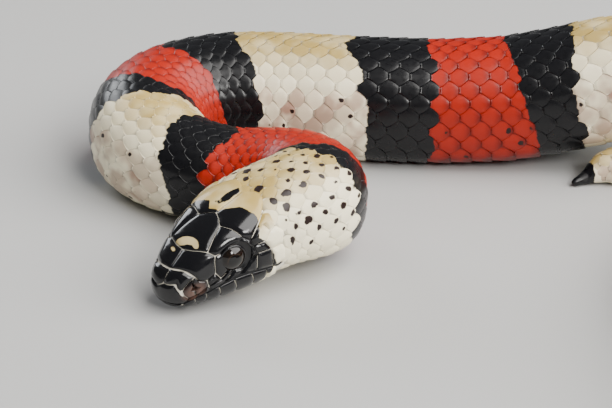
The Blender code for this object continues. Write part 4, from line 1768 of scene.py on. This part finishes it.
# %% Shields of the sides
SIDE_SHIELDS = [
    # the nasal's two halves, then the loreal
    [(1.2, 0.375), (2.0, 0.33), (2.7, 0.315), (2.8, 0.37)] + nostril_notch(-100, -260)
    + [(2.78, 0.55), (2.0, 0.56), (1.45, 0.47)],
    [(2.7, 0.315), (2.95, 0.315), (3.6, 0.385), (4.5, 0.435), (4.5, 0.505), (3.2, 0.545), (2.78, 0.55)]
    + nostril_notch(80, -80) + [(2.8, 0.37)],
    [(4.5, 0.435), (5.75, 0.42), (6.2, 0.49), (4.5, 0.505)],
    # in front of the eye, then the two behind it
    [(5.8, 0.312), (6.0, 0.275), (6.9, 0.287)] + eye_rim(233, 140) + [(6.2, 0.49), (5.75, 0.42)],
    [(9.7, 0.285), (10.3, 0.275), (11.0, 0.322), (11.15, 0.375)] + eye_rim(-5, -48),
    [(11.15, 0.375), (11.3, 0.44), (10.6, 0.458)] + eye_rim(48, -5),
    # temples
    [(11.0, 0.322), (12.3, 0.275), (13.4, 0.265), (13.9, 0.33), (12.6, 0.38), (11.15, 0.375)],
    [(11.15, 0.375), (12.6, 0.38), (13.2, 0.45), (11.3, 0.44)],
    [(12.3, 0.275), (14.4, 0.212), (15.3, 0.235), (15.0, 0.32), (13.9, 0.33), (13.4, 0.265)],
    [(13.9, 0.33), (15.0, 0.32), (15.8, 0.38), (15.0, 0.455), (13.2, 0.45), (12.6, 0.38)],
    # upper lip, front to back
    [(2.0, 0.56), (2.78, 0.55), (3.2, 0.545)] + lip(3.0, 1.6, -1),
    [(3.2, 0.545), (4.5, 0.505)] + lip(4.6, 3.0, -1),
    [(4.5, 0.505), (6.2, 0.49)] + eye_rim(140, 122, 3) + lip(6.4, 4.6, -1),
    eye_rim(122, 62, 5) + lip(8.5, 6.4, -1),
    eye_rim(62, 48, 2) + [(10.6, 0.458), (11.3, 0.44)] + lip(10.6, 8.5, -1),
    [(11.3, 0.44), (13.2, 0.45)] + lip(12.9, 10.6, -1),
    [(13.2, 0.45), (15.0, 0.455), (15.3, 0.50), (14.9, 0.575)] + lip(14.5, 12.9, -1),
]
# The first half of the nasal and the first shield of the lip are drawn on the round chart of the snout.
SNOUT_SIDES = (0, 10)
ROSTRAL = ([(0.6, 0), (0.75, 0.20), (1.2, 0.375), (1.45, 0.47), (2.0, 0.56)] + lip(1.6, 0.12, -1)
           + mirrored(lip(0.12, 1.6, -1)) + [(2.0, -0.56), (1.45, -0.47), (1.2, -0.375), (0.75, -0.20)])
left_side = [(corners, index in SNOUT_SIDES) for index, corners in enumerate(SIDE_SHIELDS)]
right_side = [(mirrored(corners), on_snout) for corners, on_snout in left_side]
lay_shields("left_side_shields", left_side, seed=402, window=((1.0, 16.5), (0.18, 0.66)))
lay_shields("right_side_shields", right_side, seed=403, window=((1.0, 16.5), (-0.66, -0.18)))
lay_shields("snout_shield", [(ROSTRAL, True)], seed=404, window=((0.0, 2.2), (-1.0, 1.0)))

# %% [markdown]
# ## The nostrils
# A nostril is a round pit between the two halves of its shield, with a reddish-brown wall. It is a little
# cup, worked out in rings from its lip to its floor.

# %% Nostrils
CUP_SIDES = 24
CUP_RINGS = 8
CUP_RADII = np.linspace(NOSTRIL_RADIUS + 0.10, 0.02, CUP_RINGS)
CUP_WALL = (0.1, NOSTRIL_RADIUS + 0.05)
CUP_LIP = 0.06
CUP_DEPTH = 0.75
CUP_BROWN = 0.6
CUP_BAKE = 0.9


def add_nostril(name, side):
    radius, angle = np.meshgrid(CUP_RADII, np.linspace(0, 2 * np.pi, CUP_SIDES + 1), indexing="ij")
    place = NOSTRIL_PLACE + NOSTRIL_STRETCH * radius * np.cos(angle)
    turn = side * (NOSTRIL_TURN + radius * np.sin(angle) / CHART_SCALE)
    height = -CUP_LIP - CUP_DEPTH * (1 - smoothstep(*CUP_WALL, radius))
    points = over_body(place, turn, height).reshape(-1, 3)
    marks, plate, flecks = (np.tile(record, (len(points), 1))
                            for record in ([1.0, 0.0, 0.0], [1.0, 1.0, 0.5], [0.0, 0.0, CUP_BROWN]))
    flat = 0.5 + CUP_BAKE * np.stack([radius * np.cos(angle), radius * np.sin(angle)], -1).reshape(-1, 2)
    faces = grid_faces(CUP_RINGS, CUP_SIDES + 1)
    make_piece(name, points, faces if side < 0 else faces[:, ::-1], (marks, plate, flecks), flat,
               SHIELD_FINISH)


add_nostril("nostril_left", 1)
add_nostril("nostril_right", -1)

# %% [markdown]
# ## The lower jaw
# One small shield sits at the tip of the lower jaw, seven more run along each lip, and two pairs of long chin
# shields lie between them with a groove down the middle, which lets the skin stretch over a meal.

# %% Shields of the lower jaw
# One side: seven shields of the lip, two long chin shields, and one between them and the lip.
JAW_SIDE = [
    [(1.6, 0.86), (2.9, 0.76)] + lip(2.6, 1.2, 1) + [(1.3, 0.78)],
    [(2.9, 0.76), (4.2, 0.74)] + lip(4.0, 2.6, 1),
    [(4.2, 0.74), (6.0, 0.77)] + lip(5.6, 4.0, 1),
    [(6.0, 0.77), (8.0, 0.76)] + lip(7.6, 5.6, 1),
    [(8.0, 0.76), (10.2, 0.735)] + lip(9.8, 7.6, 1),
    [(10.2, 0.735), (12.0, 0.71)] + lip(11.8, 9.8, 1),
    [(12.0, 0.71), (13.6, 0.69)] + lip(13.3, 11.8, 1),
    [(1.6, 0.86), (2.9, 0.76), (4.2, 0.74), (6.0, 0.77), (6.4, 0.89), (6.3, 1.0), (4.2, 1.0), (2.2, 1.0)],
    [(6.0, 0.77), (8.0, 0.76), (9.9, 0.80), (9.6, 0.90), (7.6, 0.93), (6.4, 0.89)],
    [(8.0, 0.76), (10.2, 0.735), (12.0, 0.71), (12.2, 0.77), (10.0, 0.80)],
]
MENTAL = (lip(0.12, 1.2, 1) + [(1.3, 0.78), (1.6, 0.86), (2.2, 1.0), (1.6, -0.86), (1.3, -0.78)]
          + mirrored(lip(1.2, 0.12, 1)))
CHIN_MIDDLE = [(6.4, 0.89), (7.6, 0.93), (9.6, 0.90), (10.3, 1.0), (9.6, 1.10), (7.6, 1.07), (6.4, 1.11),
               (6.3, 1.0)]
jaw = [(CHIN_MIDDLE, False)]
for corners in JAW_SIDE:
    jaw.append((corners, False))
    jaw.append(([(place, 2 - turn) for place, turn in corners], False))
lay_shields("jaw_shields", jaw, seed=405, window=((0.8, 14.0), (0.55, 1.45)))
lay_shields("chin_shield", [(MENTAL, True)], seed=406, window=((0.0, 2.6), (-1.0, 1.0)))

# %% [markdown]
# ## The gloss of the eyes
# A snake's eye has no lids. A clear scale covers it, so it is always open and shiny: a round black pupil, a
# very dark brown iris with a thin paler ring round the pupil, and a clear gloss over all of it. The eye's
# record says how far a point is from the middle of the pupil, so rings of colour need no picture.

# %% Eye finish
# Steps outward from the middle of the pupil; 1 is a quarter of the way round the ball.
PUPIL_CUT = (0.285, 0.31)
RING_START = (0.29, 0.31)
RING_END = (0.32, 0.37, 1.0, 0.0)
IRIS_CUT = (0.59, 0.65)
PUPIL_COLOUR = (0.003, 0.003, 0.003, 1)
DARK_IRIS = (0.003, 0.002, 0.0015, 1)
PALE_IRIS = (0.009, 0.005, 0.003, 1)
RING_COLOUR = (0.022, 0.012, 0.007, 1)
OUTER_COLOUR = (0.02, 0.018, 0.017, 1)
STREAK_SCALE = 9.0
STREAKS_ROUND = 6.0
STREAKS_OUT = 0.6
STREAK_CUT = (0.35, 0.7)
EYE_GLOSS = {"Roughness": 0.10, "Specular IOR Level": 0.25, "Coat Weight": 0.45, "Coat Roughness": 0.02}


def iris_part(tree, away, around):
    """Fine streaks that run out from the pupil, and the thin ring round it."""
    streaks = tree.nodes.new("ShaderNodeTexNoise")
    streaks.inputs["Scale"].default_value = STREAK_SCALE
    place = tree.nodes.new("ShaderNodeCombineXYZ")
    feed(tree, place.inputs[0], maths(tree, "MULTIPLY", around, STREAKS_ROUND))
    feed(tree, place.inputs[1], maths(tree, "MULTIPLY", away, STREAKS_OUT))
    join(tree, place.outputs[0], streaks.inputs["Vector"])
    iris = blend_colour(tree, ramp(tree, streaks.outputs["Fac"], *STREAK_CUT), DARK_IRIS, PALE_IRIS)
    ring = maths(tree, "MULTIPLY", ramp(tree, away, *RING_START), ramp(tree, away, *RING_END))
    return blend_colour(tree, ring, iris, RING_COLOUR)


def eye_finish():
    made = bpy.data.materials.new("eye_gloss")
    made.use_nodes = True
    tree = made.node_tree
    shader = tree.nodes["Principled BSDF"]
    away, around, _ = attribute(tree, "plate")
    iris = iris_part(tree, away, around)
    colour = blend_colour(tree, ramp(tree, away, *PUPIL_CUT), PUPIL_COLOUR, iris)
    colour = blend_colour(tree, ramp(tree, away, *IRIS_CUT), colour, OUTER_COLOUR)
    join(tree, colour, shader.inputs["Base Color"])
    for socket, value in EYE_GLOSS.items():
        shader.inputs[socket].default_value = value
    return made


EYE_FINISH = eye_finish()
print("eye finish:", EYE_FINISH.name)

# %% [markdown]
# ## The eyes
# The eye is a ball sunk in the side of the head, and stands for its solid. It looks the way that the skin
# faces there.

# %% Eyeballs
EYE_RADIUS = 2.1
EYE_INSET = 0.03
EYE_RINGS = 40
EYE_SIDES = 48
EYE_TURNS = np.linspace(0, 2 * np.pi, EYE_SIDES + 1)


def round_eye(side, solid, angle, turn, radius):
    """Points at an angle from the eye's axis, a turn round it, and a radius in millimetres."""
    centre = np.array(sum(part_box(solid), Vector())) / 2
    axis = unit(on_map(MAP_NORMALS, np.array([EYE_RIM_PLACE]), np.array([side * EYE_RIM_TURN])))[0]
    upward = unit(HEAD_UP - axis * (HEAD_UP @ axis))
    sideways = np.cross(upward, axis)
    directions = (axis * np.cos(angle)[..., None] + upward * (np.sin(angle) * np.cos(turn))[..., None]
                  + sideways * (np.sin(angle) * np.sin(turn))[..., None])
    return (centre + directions * np.broadcast_to(radius, angle.shape)[..., None] * MM).reshape(-1, 3)


def add_eye(side, solid):
    angle, turn = np.meshgrid(np.linspace(0, np.pi, EYE_RINGS), EYE_TURNS, indexing="ij")
    points = round_eye(side, solid, angle, turn, EYE_RADIUS - EYE_INSET)
    # The eye's own record: how far from the pupil's middle, and which way round it.
    plate = np.stack([angle / np.pi * 2, turn / (2 * np.pi), 0 * turn], -1).reshape(-1, 3)
    plain = np.zeros_like(plate)
    flat = np.stack([turn / (2 * np.pi), angle / np.pi], -1).reshape(-1, 2)
    eye = make_piece("eyeball_" + solid[4:], points, grid_faces(EYE_RINGS, EYE_SIDES + 1),
                     (plain, plate, plain), flat, EYE_FINISH)
    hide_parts(solid)


add_eye(1, "eye_left")
add_eye(-1, "eye_right")

# %% [markdown]
# ## The rims of the eyes
# A narrow raised ring of skin holds the edge of the clear scale. It is a thin tube laid round the ball.

# %% Eye rims
RIM_SIDES = 10
RIM_ANGLE = math.radians(58)
RIM_THICKNESS = 0.17


def add_eye_rim(name, side, solid):
    tube, turn = np.meshgrid(np.linspace(0, 2 * np.pi, RIM_SIDES + 1), EYE_TURNS, indexing="ij")
    angle = RIM_ANGLE + RIM_THICKNESS / EYE_RADIUS * np.cos(tube)
    radius = EYE_RADIUS - EYE_INSET + RIM_THICKNESS * np.sin(tube)
    points = round_eye(side, solid, angle, turn, radius)
    marks = np.tile([1.0, 0.0, 0.0], (len(points), 1))
    plate = np.tile([0.0, 0.0, 0.5], (len(points), 1))
    flat = np.stack([turn / (2 * np.pi), tube / (2 * np.pi)], -1).reshape(-1, 2)
    make_piece(name, points, grid_faces(RIM_SIDES + 1, EYE_SIDES + 1), (marks, plate, 0 * marks), flat,
               SHIELD_FINISH)


add_eye_rim("eye_rim_left", 1, "eye_left")
add_eye_rim("eye_rim_right", -1, "eye_right")
